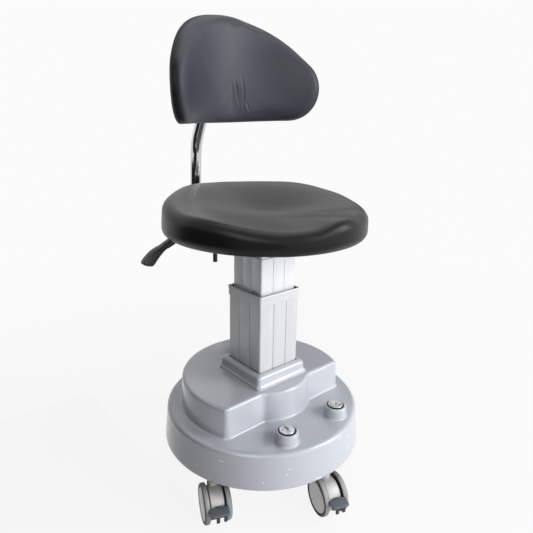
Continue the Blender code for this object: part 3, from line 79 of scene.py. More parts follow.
# Settings
def scalar(name, description, default, **kind):
    return FloatProperty(name=name, description=description, default=default, **kind)


def length(name, description, default):
    return scalar(name, description, default, subtype="DISTANCE", unit="LENGTH", min=0)


def degrees(name, description, default):
    return scalar(name, description, math.radians(default), subtype="ANGLE")


def watts(name, description, default):
    return scalar(name, description, default, unit="POWER")


def colour(name, description, default):
    kind = {"subtype": "COLOR", "size": 3, "min": 0, "max": 1}
    return FloatVectorProperty(name=name, description=description, default=default, **kind)


class CoverSettings(bpy.types.PropertyGroup):
    """Sizes and colours of the moulded base"""

    paint: colour("Paint", "Silver-grey of the moulded cover", (0.430, 0.449, 0.497))
    # Pale marks: scuffed paint low on the wall, and painted glints where they reach over the deck's rim.
    chip_and_glint_tint: colour("Chips", "Pale marks where the paint is scuffed", (0.86, 0.87, 0.90))
    deck_height: length("Deck height", "From the lower edge to the deck with the buttons", 0.071)
    tier_height: length("Tier height", "From the deck to the second tier's top", 0.063)
    rim_round: length("Rim round", "Radius of the deck's outer edge", 0.009)
    tier_round: length("Tier round", "Radius of the second tier's top edge", 0.007)
    foot_fillet: length("Foot fillet", "Radius where the tier meets the deck", 0.006)
    wall_draft: length("Wall draft", "How far the tier's wall leans out over its height", 0.0025)
    tier_radius: length("Tier radius", "Radius of the second tier", 0.172)
    tier_front: length("Tier front", "Distance of the tier's flat wall from the column's axis", 0.079)
    bulge_radius: length("Bulge radius", "Radius of the bulge in the flat wall", 0.100)
    corner_round: length("Corner round", "Radius of the tier's upright corners", 0.005)
    bulge_fillet: length("Bulge fillet", "Radius where the bulge meets the flat wall", 0.0045)
    segments: IntProperty(name="Segments", description="Points round the cover", min=64, default=264)


class ColumnSettings(bpy.types.PropertyGroup):
    """Sizes and colours of the lifting column"""

    aluminium: colour("Aluminium", "Satin anodised aluminium", (0.54, 0.55, 0.57))
    corner_round: length("Corner round", "Radius of the column's corners", 0.0034)
    groove_width: length("Groove width", "Width of the grooves in each face", 0.0024)
    groove_depth: length("Groove depth", "Depth in the front and back; twice this at the sides", 0.0010)
    rim_width: length("Rim width", "Thickness of the collar's rim", 0.0020)
    rim_depth: length("Rim depth", "How far the collar's ledge lies below its rim", 0.0022)


class SeatSettings(bpy.types.PropertyGroup):
    """Sizes and colours of the seat"""

    # The seat's two tints are painted light on one leatherette: the lighter is a painted sheen on the dish,
    # the darker band is painted shade on the side.
    leather: colour("Leather", "Black leatherette of the seat", (0.024, 0.025, 0.024))
    band: colour("Band", "Deep black of the seat's side", (0.005, 0.005, 0.006))
    crest_radius: length("Crest radius", "Radius where the dish meets the shoulder", 0.183)
    foot_radius: length("Foot radius", "Radius of the underside's edge", 0.184)
    shoulder: length("Shoulder", "Height of the rounded edge between dish and side", 0.016)
    foot_round: length("Foot round", "Height of the rounded edge under the side", 0.016)
    turn: degrees("Turn", "Of the dish about the column", -22)
    dip_crest: length("Dip crest", "Height of the rim at its lowest, above the underside", 0.038)
    thigh_rise: length("Thigh rise", "How far the rim rises beside the dip", 0.017)
    back_rise: length("Back rise", "How far the rim rises again to the back", 0.027)
    pommel_rise: length("Pommel rise", "How far the front's middle stands above the dip", 0.009)
    dish_height: length("Dish height", "Height of the dish's middle above the underside", 0.034)
    swell: length("Swell", "Most that the filling may push the cover out", 0.0025)


class BackSettings(bpy.types.PropertyGroup):
    """Sizes and colours of the back rest"""

    leather: colour("Leather", "Black leatherette of the back pad", (0.024, 0.027, 0.038))
    band: colour("Band", "Deep black of the pad's edge", (0.005, 0.005, 0.007))
    chrome: colour("Chrome", "Polished chrome of the bent tube", CHROME)
    half_length: length("Half length", "Half of the pad's length along its curve", 0.2076)
    height: length("Height", "Height of the pad", 0.2010)
    foot_height: length("Foot height", "Of the pad's lower edge above the tilt's axis", 0.2364)
    cant: degrees("Cant", "Of the pad in its own face", 2.4)
    top_round: length("Top round", "Radius of the pad's top edge in outline", 0.235)
    corner_round: length("Corner round", "Radius of the pad's ends in outline", 0.065)
    wrap_radius: length("Wrap radius", "Radius of the curve round the sitter", 0.1913)
    front_depth: length("Front depth", "Padding in front of the middle layer", 0.024)
    back_depth: length("Back depth", "Padding behind the middle layer", 0.020)
    board_share: scalar("Board share", "Size of the shell behind the pad", 0.62)
    board_depth: length("Board depth", "Thickness of the shell behind the pad", 0.009)
    swell: length("Swell", "Most that the filling may push the cover out", 0.0030)


class CasterSettings(bpy.types.PropertyGroup):
    """Sizes and colours of the casters"""

    tread: colour("Tread", "Grey of the tread", (0.27, 0.265, 0.27))
    hub: colour("Hub", "Champagne silver of hub and hood", (0.52, 0.512, 0.50))
    pedal: colour("Pedal", "Slate plastic of the brake pedal", (0.075, 0.088, 0.108))
    hub_radius: length("Hub radius", "Radius of the silver disc", 0.0305)
    hood_radius: length("Hood radius", "Radius of the hood between the wheels", 0.0312)
    hood_width: length("Hood width", "Width of the hood", 0.027)
    wheel_width: length("Wheel width", "Width of each wheel", 0.0115)


class StageSettings(bpy.types.PropertyGroup):
    """Camera, lights and floor"""

    floor: colour("Floor", "Pale floor", (0.80, 0.80, 0.80))
    focal: scalar("Focal length", "Of a 36 mm wide sensor", 31.64, unit="CAMERA")
    distance: length("Distance", "From the column's axis to the camera, in plan", 0.915)
    height: length("Height", "Of the camera above the floor", 0.725)
    azimuth: degrees("Azimuth", "Round the stool", -40.76)
    pitch: degrees("Pitch", "Down", 16.35)
    roll: degrees("Roll", "Of the picture", 1.0)
    shift: scalar("Shift", "Sideways, as a share of the picture", 0.0045)
    key: watts("Key", "Power of the main lamp", 30.0)
    fill: watts("Fill", "Power of the lamp in front", 41.0)
    top: watts("Top", "Power of the lamp above", 10.0)
    side: watts("Side", "Power of the low lamp at the right", 11.0)
    sheen: watts("Sheen", "Power of the lamp seen in gloss alone", 16.0)
    sky: scalar("Sky", "Strength of the light from all round", 0.36)
    white: scalar("White", "Level of the plain background", 0.965)


SETTINGS = {
    "stool_cover": CoverSettings,
    "stool_column": ColumnSettings,
    "stool_seat": SeatSettings,
    "stool_back": BackSettings,
    "stool_casters": CasterSettings,
    "stool_stage": StageSettings,
}


# Modelling
def start_fresh():
    """Leaves edit mode and deselects everything."""
    if bpy.context.object and bpy.context.object.mode != "OBJECT":
        bpy.ops.object.mode_set(mode="OBJECT")
    bpy.ops.object.select_all(action="DESELECT")


def only(piece):
    """Makes a piece the one that operators act on."""
    start_fresh()
    piece.select_set(True)
    bpy.context.view_layer.objects.active = piece


def named(piece, name):
    piece.name = name
    piece.data.name = name
    return piece


def added(name, operator, **options):
    """Adds an object with one of Blender's operators and names it."""
    start_fresh()
    operator(**options)
    return named(bpy.context.object, name)


def opened(piece):
    """A piece's mesh in edit mode, with everything selected."""
    bpy.ops.object.mode_set(mode="EDIT")
    bpy.ops.mesh.select_all(action="SELECT")
    return bmesh.from_edit_mesh(piece.data)


def leave_edit():
    """Turns all faces outwards and leaves edit mode."""
    bpy.ops.mesh.select_all(action="SELECT")
    bpy.ops.mesh.normals_make_consistent(inside=False)
    bpy.ops.object.mode_set(mode="OBJECT")


def smooth(piece, angle=32.0):
    only(piece)
    bpy.ops.object.shade_smooth_by_angle(angle=math.radians(angle))
    return piece


def skin(name, rings, capped=False):
    """A skin over rings of equal length: a circle is extruded ring by ring, each ring moved to its place."""
    piece = added(name, bpy.ops.mesh.primitive_circle_add, vertices=len(rings[0]))
    shape = opened(piece)
    place = shape.verts.layers.int.new("place")
    for number, vertex in enumerate(shape.verts):
        vertex[place] = number
    for number, ring in enumerate(rings):
        if number:
            bpy.ops.mesh.extrude_edges_move()
        shape = bmesh.from_edit_mesh(piece.data)
        place = shape.verts.layers.int["place"]
        for vertex in shape.verts:
            if vertex.select:
                vertex.co = ring[vertex[place]]
    shape.verts.layers.int.remove(place)
    bmesh.update_edit_mesh(piece.data)
    bpy.ops.mesh.select_all(action="SELECT")
    bpy.ops.mesh.remove_doubles(threshold=WELD)
    if capped:
        bpy.ops.mesh.select_all(action="SELECT")
        bpy.ops.mesh.fill_holes(sides=0)
    leave_edit()
    return smooth(piece)


def turned(name, profile, segments, place=Matrix()):
    """A shape turned about Z from points (radius, height), then put in its place."""
    turns = even_turns(segments)
    return skin(name, [[place @ polar(r, t, z) for t in turns] for r, z in profile])


def rod(radius, top, foot):
    """The profile of a plain round bar, to be turned."""
    return [(0.0, top), (radius, top), (radius, foot), (0.0, foot)]


def mirrored(profile):
    """A profile followed by its mirror image below."""
    return profile + [(radius, -height) for radius, height in reversed(profile)]


def swept(name, path, sections):
    """A shape along a path of points; each section is a ring of (side, up) points about its path point."""
    rings = []
    for number, point in enumerate(path):
        before, after = path[max(number - 1, 0)], path[min(number + 1, len(path) - 1)]
        along = (after - before).normalized()
        side = across_of(along)
        up = along.cross(side)
        rings.append([point + side * s + up * u for s, u in sections[number]])
    return skin(name, rings, capped=True)


def across_of(along):
    """A level direction across a path that stays near one upright plane."""
    level = Vector((0, 0, 1)).cross(along)
    if level.length < 0.2:
        level = Vector((1, 0, 0)) - along * along.x
    return level.normalized()


def oval_ring(wide, tall, count, power=1.0):
    """An oval of (side, up) points, squarer as its power falls."""
    ring = []
    for turn in even_turns(count):
        x, y = math.cos(turn), math.sin(turn)
        ring.append((wide * math.copysign(abs(x) ** power, x), tall * math.copysign(abs(y) ** power, y)))
    return ring


def bent_path(corners, radii, steps=14):
    """Straight runs with an arc at each inner corner."""
    runs = [Vector(corners[0])]
    for before, corner, after, radius in zip(corners, corners[1:], corners[2:], radii):
        corner = Vector(corner)
        arrive = (Vector(before) - corner).normalized()
        leave = (Vector(after) - corner).normalized()
        half = arrive.angle(leave) / 2
        centre = corner + (arrive + leave).normalized() * radius / math.sin(half)
        first = corner + arrive * radius / math.tan(half) - centre
        last = corner + leave * radius / math.tan(half) - centre
        runs += [centre + first.lerp(last, step / steps).normalized() * radius for step in range(steps + 1)]
    runs.append(Vector(corners[-1]))
    return runs


def pillow(name, cuts, place):
    """A cube divided evenly and swollen: each point goes to place(angle round Z, share from top to foot)."""
    piece = added(name, bpy.ops.mesh.primitive_cube_add, size=2.0)
    opened(piece)
    bpy.ops.mesh.subdivide(number_cuts=cuts)
    shape = bmesh.from_edit_mesh(piece.data)
    for vertex in shape.verts:
        point = Vector([math.tan(part * math.pi / 4) for part in vertex.co]).normalized()
        vertex.co = place(math.atan2(point.y, point.x), math.acos(point.z) / math.pi)
    bmesh.update_edit_mesh(piece.data)
    leave_edit()
    return smooth(piece, 60.0)


def apply_modifiers(piece):
    only(piece)
    for modifier in list(piece.modifiers):
        bpy.ops.object.modifier_apply(modifier=modifier.name)
    return piece


def divide(piece):
    """Divides a piece's faces once more, after its other modifiers."""
    modifier = piece.modifiers.new("divide", "SUBSURF")
    modifier.levels = 1
    modifier.render_levels = 1
    return apply_modifiers(piece)


def combine(piece, tool, operation):
    """Joins a closed shape to a piece or cuts it out of it, and removes the tool."""
    modifier = piece.modifiers.new(operation.lower(), "BOOLEAN")
    modifier.operation = operation
    modifier.solver = "EXACT"
    modifier.object = tool
    apply_modifiers(piece)
    bpy.data.objects.remove(tool, do_unlink=True)
    return piece


def rounded_block(name, low, high, radius=0.0, segments=1):
    """A cube moved to its corners, with its edges bevelled."""
    piece = added(name, bpy.ops.mesh.primitive_cube_add, size=1.0)
    shape = opened(piece)
    for vertex in shape.verts:
        for axis in range(3):
            vertex.co[axis] = high[axis] if vertex.co[axis] > 0 else low[axis]
    bmesh.update_edit_mesh(piece.data)
    if radius:
        bpy.ops.mesh.bevel(offset=radius, segments=segments, affect="EDGES")
    bpy.ops.object.mode_set(mode="OBJECT")
    return smooth(piece)


def copy_to(piece, name, matrix):
    """A copy with its own mesh, put in its place."""
    only(piece)
    bpy.ops.object.duplicate(linked=False)
    double = named(bpy.context.object, name)
    double.data.transform(matrix)
    return double


def paint_faces(piece, materials, choose):
    """Gives a piece its materials, and each face the number that choose(middle, normal) returns."""
    piece.data.materials.clear()
    for material in materials:
        piece.data.materials.append(material)
    for face in piece.data.polygons:
        face.material_index = int(choose(face.center, face.normal))


def give(piece, material):
    piece.data.materials.clear()
    piece.data.materials.append(material)


def smooth_step(value, low=0.0, high=1.0):
    value = min(max((value - low) / (high - low), 0.0), 1.0)
    return value * value * (3 - 2 * value)


def round_join(a, b, radius):
    """Distance to two shapes joined with a fillet."""
    return max(radius, min(a, b)) - math.hypot(max(radius - a, 0), max(radius - b, 0))


def round_corner(a, b, radius):
    """Distance to what two shapes share, with a rounded corner."""
    return min(-radius, max(a, b)) + math.hypot(max(radius + a, 0), max(radius + b, 0))


def reach(distance, turn, offset=0.0):
    """How far out along a direction a plan shape's offset line lies, found by halving."""
    near, far = 0.005, 0.30
    x, y = math.cos(turn), math.sin(turn)
    for _ in range(36):
        middle = (near + far) / 2
        if distance(x * middle, y * middle) < offset:
            near = middle
        else:
            far = middle
    return (near + far) / 2


def polar(radius, turn, height):
    return Vector((radius * math.cos(turn), radius * math.sin(turn), height))


def even_turns(count):
    return [2 * math.pi * step / count for step in range(count)]


def bends(steps):
    """Sines and cosines through a quarter turn."""
    turns = [math.pi / 2 * step / steps for step in range(steps + 1)]
    return [(math.sin(turn), math.cos(turn)) for turn in turns]


def plan_ring(distance, turns, height, offset=0.0):
    """A level ring along a plan shape's offset line."""
    return [polar(reach(distance, turn, offset), turn, height) for turn in turns]


def in_square(point, half):
    return max(abs(point.x), abs(point.y)) < half


def out_from(point, axis):
    """How far a point lies from an upright axis."""
    return math.hypot(point.x - axis.x, point.y - axis.y)


def square_distance(half, corner):
    def distance(x, y):
        dx, dy = abs(x) - half + corner, abs(y) - half + corner
        return math.hypot(max(dx, 0), max(dy, 0)) + min(max(dx, dy), 0) - corner

    return distance


def spaced_turns(count, places, width, weight):
    """Directions round a circle, closer together near some places, which are in degrees."""
    fine = 7200
    total, sums = 0.0, []
    for step in range(fine):
        angle = 360.0 * step / fine
        density = 1.0
        for place in places:
            apart = abs((angle - place + 180) % 360 - 180)
            density += weight * math.exp(-((apart / width) ** 2))
        total += density
        sums.append(total)
    turns, step = [], 0
    for number in range(count):
        while sums[step] < total * (number + 0.5) / count:
            step += 1
        turns.append(math.radians(360.0 * step / fine))
    return turns


# Finishes
def feed(tree, node, values):
    """Sets a node's inputs to constants, or joins them to other nodes' sockets."""
    for key, value in values.items():
        if isinstance(value, bpy.types.NodeSocket):
            tree.links.new(value, node.inputs[key])
        else:
            node.inputs[key].default_value = value


def add_node(tree, kind, values=None, **settings):
    node = tree.nodes.new("ShaderNode" + kind)
    for key, value in settings.items():
        setattr(node, key, value)
    feed(tree, node, values or {})
    return node


def maths(tree, operation, *values):
    """The result of one sum on constants and sockets."""
    return add_node(tree, "Math", dict(enumerate(values)), operation=operation).outputs[0]


def map_range(tree, value, **limits):
    """A value carried from one range to another, with limits such as to_max."""
    values = {key.replace("_", " ").title(): limit for key, limit in limits.items()}
    return add_node(tree, "MapRange", {"Value": value, **values}).outputs["Result"]


def here(tree):
    """A point's place on its object."""
    return add_node(tree, "TexCoord").outputs["Object"]


def effect(name, defaults, results):
    """An empty node group, with its inputs' sockets and its end node."""
    group = bpy.data.node_groups.new(name, "ShaderNodeTree")
    for key, value in defaults.items():
        kind = "NodeSocketVector" if isinstance(value, tuple) else "NodeSocketFloat"
        group.interface.new_socket(key, in_out="INPUT", socket_type=kind).default_value = value
    for key in results:
        group.interface.new_socket(key, in_out="OUTPUT", socket_type="NodeSocketFloat")
    return group, group.nodes.new("NodeGroupInput").outputs, group.nodes.new("NodeGroupOutput")


def streaks_effect():
    """Fine lines drawn along one direction, as on brushed metal."""
    defaults = {"Stretch": (900.0, 900.0, 6.0), "Detail": 3.0}
    group, given, end = effect("fine_lines", defaults, ("Shade", "Height"))
    spread = add_node(group, "VectorMath", {0: here(group), 1: given["Stretch"]}, operation="MULTIPLY")
    look = {"Vector": spread.outputs[0], "Detail": given["Detail"], "Scale": 1.0, "Roughness": 0.6}
    lines = add_node(group, "TexNoise", look).outputs["Fac"]
    feed(group, end, {"Shade": lines, "Height": lines})
    return group


def mottle_effect():
    """Broad soft clouds, for dust, handling and uneven gloss."""
    group, given, end = effect("soft_clouds", {"Scale": 14.0}, ("Shade",))
    look = {"Vector": here(group), "Scale": given["Scale"], "Detail": 4.0, "Roughness": 0.55}
    clouds = add_node(group, "TexNoise", look).outputs["Fac"]
    feed(group, end, {"Shade": map_range(group, clouds, from_min=0.3, from_max=0.7)})
    return group


def specks_effect():
    """Sparse small nicks and short scratches."""
    defaults = {"Stretch": (90.0, 90.0, 90.0), "Size": 0.10, "Rarity": 0.5}
    group, given, end = effect("nicks", defaults, ("Mask",))
    place = here(group)
    wobble = add_node(group, "TexNoise", {"Vector": place, "Scale": 420.0, "Detail": 2.0}).outputs["Color"]
    sway = {0: wobble, 1: (0.0035, 0.0035, 0.0035), 2: place}
    bent = add_node(group, "VectorMath", sway, operation="MULTIPLY_ADD").outputs[0]
    spread = add_node(group, "VectorMath", {0: bent, 1: given["Stretch"]}, operation="MULTIPLY").outputs[0]
    cells = add_node(group, "TexVoronoi", {"Vector": spread, "Scale": 1.0}).outputs
    parts = add_node(group, "SeparateColor", {0: cells["Color"]}).outputs
    near = maths(group, "LESS_THAN", cells["Distance"], given["Size"])
    chosen = maths(group, "GREATER_THAN", parts[0], given["Rarity"])
    feed(group, end, {"Mask": maths(group, "MULTIPLY", near, chosen)})
    return group


def grain_effect():
    """Pebbled grain, for leatherette and moulded plastic."""
    group, given, end = effect("pebble_grain", {"Scale": 700.0}, ("Height", "Shade"))
    place = {"Vector": here(group), "Scale": given["Scale"]}
    cells = add_node(group, "TexVoronoi", {**place, "Smoothness": 0.6}, feature="SMOOTH_F1")
    fine = add_node(group, "TexNoise", {**place, "Detail": 3.0, "Roughness": 0.6}).outputs["Fac"]
    feed(group, end, {"Height": maths(group, "ADD", cells.outputs["Distance"], fine), "Shade": fine})
    return group


def crease_effect():
    """One crease down a cover that faces -Y: a narrow fold beside a soft swell, fading at its ends."""
    names = ("Place", "Lean", "Bow", "Top", "Foot", "Depth")
    group, given, end = effect("crease", dict.fromkeys(names, 0.0), ("Height",))
    parts = add_node(group, "SeparateXYZ", {0: here(group)}).outputs

    def sums(operation, *values):
        return maths(group, operation, *values)

    def bell(value, width):
        square = sums("POWER", sums("DIVIDE", value, width), 2.0)
        return sums("POWER", 2.718, sums("MULTIPLY", square, -1.0))

    def ramp(value, low, high):
        limits = {"Value": value, "From Min": low, "From Max": high}
        return add_node(group, "MapRange", limits, interpolation_type="SMOOTHSTEP").outputs["Result"]

    height = parts["Z"]
    middle = sums("MULTIPLY", sums("ADD", given["Top"], given["Foot"]), 0.5)
    up = sums("SUBTRACT", height, middle)
    line = sums("MULTIPLY_ADD", up, given["Lean"], given["Place"])
    line = sums("MULTIPLY_ADD", sums("POWER", sums("ABSOLUTE", up), 2.0), given["Bow"], line)
    apart = sums("SUBTRACT", parts["X"], line)
    fold = sums("MULTIPLY", bell(apart, 0.0016), -1.0)
    swell = sums("MULTIPLY", bell(sums("ADD", apart, 0.0050), 0.0036), 0.5)
    both = sums("ADD", fold, swell)
    fade = sums("MULTIPLY", ramp(height, given["Foot"], middle), ramp(height, given["Top"], middle))
    front = sums("LESS_THAN", parts["Y"], PAD_HIGH.y - 0.030)
    shape = sums("MULTIPLY", sums("MULTIPLY", both, fade), front)
    feed(group, end, {"Height": sums("MULTIPLY", shape, given["Depth"])})
    return group


EFFECTS = {}
EFFECT_MAKERS = {
    "lines": streaks_effect,
    "clouds": mottle_effect,
    "nicks": specks_effect,
    "grain": grain_effect,
    "crease": crease_effect,
}


def use_effect(tree, name, values):
    """Places one of the shared effects in a material and gives its outputs."""
    if name not in EFFECTS:
        EFFECTS[name] = EFFECT_MAKERS[name]()
    return add_node(tree, "Group", values, node_tree=EFFECTS[name]).outputs


def finish(name, tint, roughness, metallic=0.0, coat=0.0, specular=0.5):
    """A Principled material to add detail to."""
    material = bpy.data.materials.new(name)
    material.use_nodes = True
    tree = material.node_tree
    shader = tree.nodes["Principled BSDF"]
    feed(tree, shader, {"Base Color": (*tint, 1.0), "Roughness": roughness, "Metallic": metallic})
    feed(tree, shader, {"Coat Weight": coat, "Specular IOR Level": specular})
    return material, tree, shader


def vary_colour(tree, shader, mask, first, second):
    """Mixes two colours by a mask into the base colour, and returns the mixing node."""
    tints = {"Factor": mask, "A": (*first, 1.0), "B": (*second, 1.0)}
    mix = add_node(tree, "Mix", tints, data_type="RGBA")
    feed(tree, shader, {"Base Color": mix.outputs["Result"]})
    return mix


def vary_roughness(tree, shader, mask, low, high):
    feed(tree, shader, {"Roughness": map_range(tree, mask, to_min=low, to_max=high)})


def raise_grain(tree, shader, height, strength, distance):
    bump = add_node(tree, "Bump", {"Height": height, "Strength": strength, "Distance": distance})
    feed(tree, shader, {"Normal": bump.outputs["Normal"]})


def shade(tint, amount):
    return tuple(min(max(part * amount, 0.0), 1.0) for part in tint)


def paint_finish(settings):
    """Glossy silver-grey paint with pale nicks and scratches low on the wall, as wear; the same pale marks up
    over the deck's rim are painted glints.
    """
    material, tree, shader = finish("cover_paint", settings.paint, 0.36, coat=0.8)
    feed(tree, shader, {"Coat Roughness": 0.08})
    nicks = use_effect(tree, "nicks", {"Stretch": (85.0, 85.0, 120.0), "Size": 0.13, "Rarity": 0.86})
    scratches = use_effect(tree, "nicks", {"Stretch": (34.0, 34.0, 300.0), "Size": 0.16, "Rarity": 0.90})
    height = add_node(tree, "SeparateXYZ", {0: here(tree)}).outputs["Z"]
    # The pale marks run up onto the deck's rounded rim, where they are painted glints rather than wear.
    marked_to, unmarked_from = (COVER_LOW.z + settings.deck_height * share for share in (0.96, 0.99))
    low = map_range(tree, height, from_min=marked_to, from_max=unmarked_from, to_min=1.0, to_max=0.0)
    chip_and_glint_mask = maths(tree, "MULTIPLY", maths(tree, "MAXIMUM", nicks["Mask"], scratches["Mask"]), low)
    vary_colour(tree, shader, chip_and_glint_mask, settings.paint, settings.chip_and_glint_tint)
    grain = use_effect(tree, "grain", {"Scale": 320.0})
    vary_roughness(tree, shader, grain["Shade"], 0.34, 0.38)
    raise_grain(tree, shader, grain["Height"], 0.008, 0.0003)
    return material


def detailed(name, tint, rough, shades, pattern, bump=None, grain=None, **base):
    """A material whose tint and gloss follow a pattern, raised by that pattern or by a grain of its own."""
    material, tree, shader = finish(name, tint, rough[0], **base)
    looks = use_effect(tree, *pattern)
    vary_colour(tree, shader, looks["Shade"], *[shade(tint, amount) for amount in shades])
    vary_roughness(tree, shader, looks["Shade"], *rough)
    if bump:
        relief = use_effect(tree, "grain", {"Scale": grain}) if grain else looks
        raise_grain(tree, shader, relief["Height"], *bump)
    return material


def brushed_finish(name, tint, stretch, rough, metallic, contrast):
    """Metal with fine lines along one direction."""
    pattern = ("lines", {"Stretch": stretch})
    shades = (1 - contrast, 1 + contrast)
    return detailed(name, tint, rough, shades, pattern, (0.05, 0.0003), metallic=metallic)


def polished_finish(name, tint, rough):
    """Chrome with faint handling marks."""
    return detailed(name, tint, rough, (0.97, 1.0), ("clouds", {"Scale": 60.0}), metallic=1.0)


def leather_finish(name, tint, rough, specular):
    """Soft black leatherette with fine grain and rubbed patches."""
    pattern = ("clouds", {"Scale": 11.0})
    return detailed(name, tint, rough, (0.85, 1.2), pattern, (0.10, 0.0004), 1500.0, specular=specular)


def moulded_finish(name, tint, rough=(0.42, 0.58), grain=900.0, bump=0.12):
    """Moulded plastic with a fine texture and a little dust."""
    return detailed(name, tint, rough, (0.9, 1.15), ("clouds", {"Scale": 40.0}), (bump, 0.0003), grain)


def plywood_finish():
    """Plywood stained black, with its grain along the board."""
    material, tree, shader = finish("board_plywood", (0.03, 0.028, 0.026), 0.6)
    lines = use_effect(tree, "lines", {"Stretch": (18.0, 190.0, 190.0), "Detail": 5.0})
    vary_colour(tree, shader, lines["Shade"], (0.016, 0.015, 0.014), (0.050, 0.046, 0.042))
    vary_roughness(tree, shader, lines["Shade"], 0.5, 0.7)
    raise_grain(tree, shader, lines["Height"], 0.1, 0.0004)
    return material


def black_edge_and_painted_shade(piece, material, share, tint, specular):
    """Blackens a cover's band, where share gives 1 for a point, and leaves its face, where it gives 0: on the
    back pad a black edge, on the seat painted shade down its side.
    """
    marks = piece.data.attributes.new("band", "FLOAT", "POINT")
    marks.data.foreach_set("value", [share(vertex.co) for vertex in piece.data.vertices])
    tree = material.node_tree
    shader = tree.nodes["Principled BSDF"]
    band = add_node(tree, "Attribute", attribute_name="band").outputs["Fac"]
    face = shader.inputs["Base Color"].links[0].from_socket
    feed(tree, vary_colour(tree, shader, band, tint, tint), {"A": face})
    gloss = shader.inputs["Specular IOR Level"].default_value
    feed(tree, shader, {"Specular IOR Level": map_range(tree, band, to_min=gloss, to_max=specular)})


# Base
class STOOL_OT_base(bpy.types.Operator):
    """Model the moulded base cover with its tier, plinth and button cups"""

    bl_idname = "stool.base"
    bl_label = "Base cover"

    opening_half = 0.0518
    opening_corner = 0.0036
    recess_radius = 0.0170
    wall = 0.004

    def execute(self, context):
        settings = context.scene.stool_cover
        paint = paint_finish(settings)
        # Painted shadow: the cups' recesses round the buttons and the gap round the column at the plinth's
        # top are blackened.
        dark = moulded_finish("cup_shadow", BLACK_PLASTIC_AND_SHADOW)
        cover = skin("base_shell", self.rings(settings))
        seal = COVER_HIGH.z - 0.004
        inner = self.plinth_profile()[3][0] + 0.0001
        paint_faces(cover, [paint, dark], lambda middle, normal: in_square(middle, inner) and middle.z > seal)
        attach(cover, "base")
        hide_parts("base_cover")
        deck = COVER_LOW.z + settings.deck_height
        for name in ("up", "down"):
            low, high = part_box(f"{name}_button")
            place = (low + high) / 2
            on_deck = Matrix.Translation((place.x, place.y, deck))
            cup = turned(f"{name}_button_cup", self.cup_profile(), 72, on_deck)
            paint_faces(cup, [paint, dark], lambda middle, normal: self.in_recess(middle, place, deck))
            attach(cup, "base")
        return {"FINISHED"}

    def in_recess(self, middle, place, deck):
        return out_from(middle, place) < self.recess_radius and middle.z > deck + 0.005

    def cup_profile(self):
        """The cup's section, from under its foot, over its lip, down to the recess's floor and its hole."""
        foot = [(0.0060, -0.0012), (0.0258, -0.0012), (0.0261, 0.0001), (0.0248, 0.0005), (0.0238, 0.0014)]
        wall = [(0.0232, 0.0030), (0.0229, 0.0060), (0.0227, 0.0125), (0.0226, 0.0150), (0.0226, 0.0172)]
        lip = [(0.0224, 0.0190), (0.0218, 0.0206), (0.0209, 0.0218), (0.0198, 0.0225), (0.0187, 0.0227)]
        mouth = [(0.0178, 0.0225), (0.0171, 0.0220), (0.0167, 0.0212), (0.0165, 0.0200), (0.0165, 0.0143)]
        return foot + wall + lip + mouth + [(0.0060, 0.0143), (0.0060, -0.0012)]

    def rings(self, settings):
        """Rings from inside the opening, out over the plinth, tier, deck and wall, and back inside."""
        wall_end = math.degrees(math.asin(settings.tier_front / settings.tier_radius))
        bulge_end = math.degrees(math.asin(settings.tier_front / settings.bulge_radius))
        places = [*CORNERS, -wall_end, 180 + wall_end, -bulge_end, 180 + bulge_end]
        turns = spaced_turns(settings.segments, places, 4.5, 5.0)
        deck = COVER_LOW.z + settings.deck_height
        tier = deck + settings.tier_height
        rings = []

        def add(distance, height, offset=0.0):
            rings.append(plan_ring(distance, turns, height, offset))

        def add_circle(radius, height):
            rings.append([polar(radius, turn, height) for turn in turns])

        def tier_distance(x, y):
            out = math.hypot(x, y)
            walled = round_corner(out - settings.tier_radius, -y - settings.tier_front, settings.corner_round)
            return round_join(walled, out - settings.bulge_radius, settings.bulge_fillet)

        for half, drop in self.plinth_profile():
            corner = self.opening_corner + (half - self.opening_half) * 0.35
            add(square_distance(half, corner), COVER_HIGH.z - drop)
        edge = settings.tier_round
        add(tier_distance, tier, -edge - 0.004)
        for sine, cosine in bends(8):
            add(tier_distance, tier - edge * (1 - cosine), edge * (sine - 1))
        fillet = settings.foot_fillet
        for sine, cosine in bends(6):
            add(tier_distance, deck + fillet * (1 - sine), settings.wall_draft + fillet * (1 - cosine))
        foot = COVER_HIGH.x
        rim = foot - 0.006
        edge = settings.rim_round
        add_circle(rim - edge - 0.003, deck)
        for sine, cosine in bends(8):
            add_circle(rim - edge + edge * sine, deck - edge * (1 - cosine))
        lip_outside = [(0.0002, 0.004), (0.0, 0.0014), (0.0005, 0.0004), (0.0014, 0.0)]
        lip_inside = [(0.0028, 0.0), (0.0034, 0.0004), (0.0036, 0.012)]
        for inset, height in lip_outside + lip_inside:
            add_circle(foot - inset, COVER_LOW.z + height)
        add_circle(rim - self.wall, deck - edge)
        add_circle(rim - 0.010, deck - self.wall)
        add(tier_distance, deck - self.wall, -0.004)
        add(tier_distance, tier - 0.006, -0.006)
        opening = square_distance(self.opening_half, self.opening_corner)
        add(opening, tier - 0.006, 0.006)
        add(opening, tier - self.wall)
        rings.append([point.copy() for point in rings[0]])
        return rings

    def plinth_profile(self):
        """Half widths of the plinth, with its broad shoulder and flared foot, and depths below its top."""
        inside = [(self.opening_half, 0.012), (self.opening_half, 0.0014), (0.0522, 0.0004), (0.0530, 0.0)]
        shoulder = [(0.0556, 0.0003), (0.0584, 0.0011), (0.0609, 0.0025), (0.0628, 0.0043), (0.0640, 0.0065)]
        face = [(0.0645, 0.0090), (0.0645, 0.0125), (0.0646, 0.0155), (0.0650, 0.0180), (0.0658, 0.0199)]
        flare = [(0.0668, 0.0211), (0.0678, 0.0219), (0.0685, 0.0229), (0.0687, 0.0243), (0.0687, 0.0258)]
        return inside + shoulder + face + flare + [(0.0690, 0.0268), (0.0699, 0.0273), (0.0716, 0.0275)]


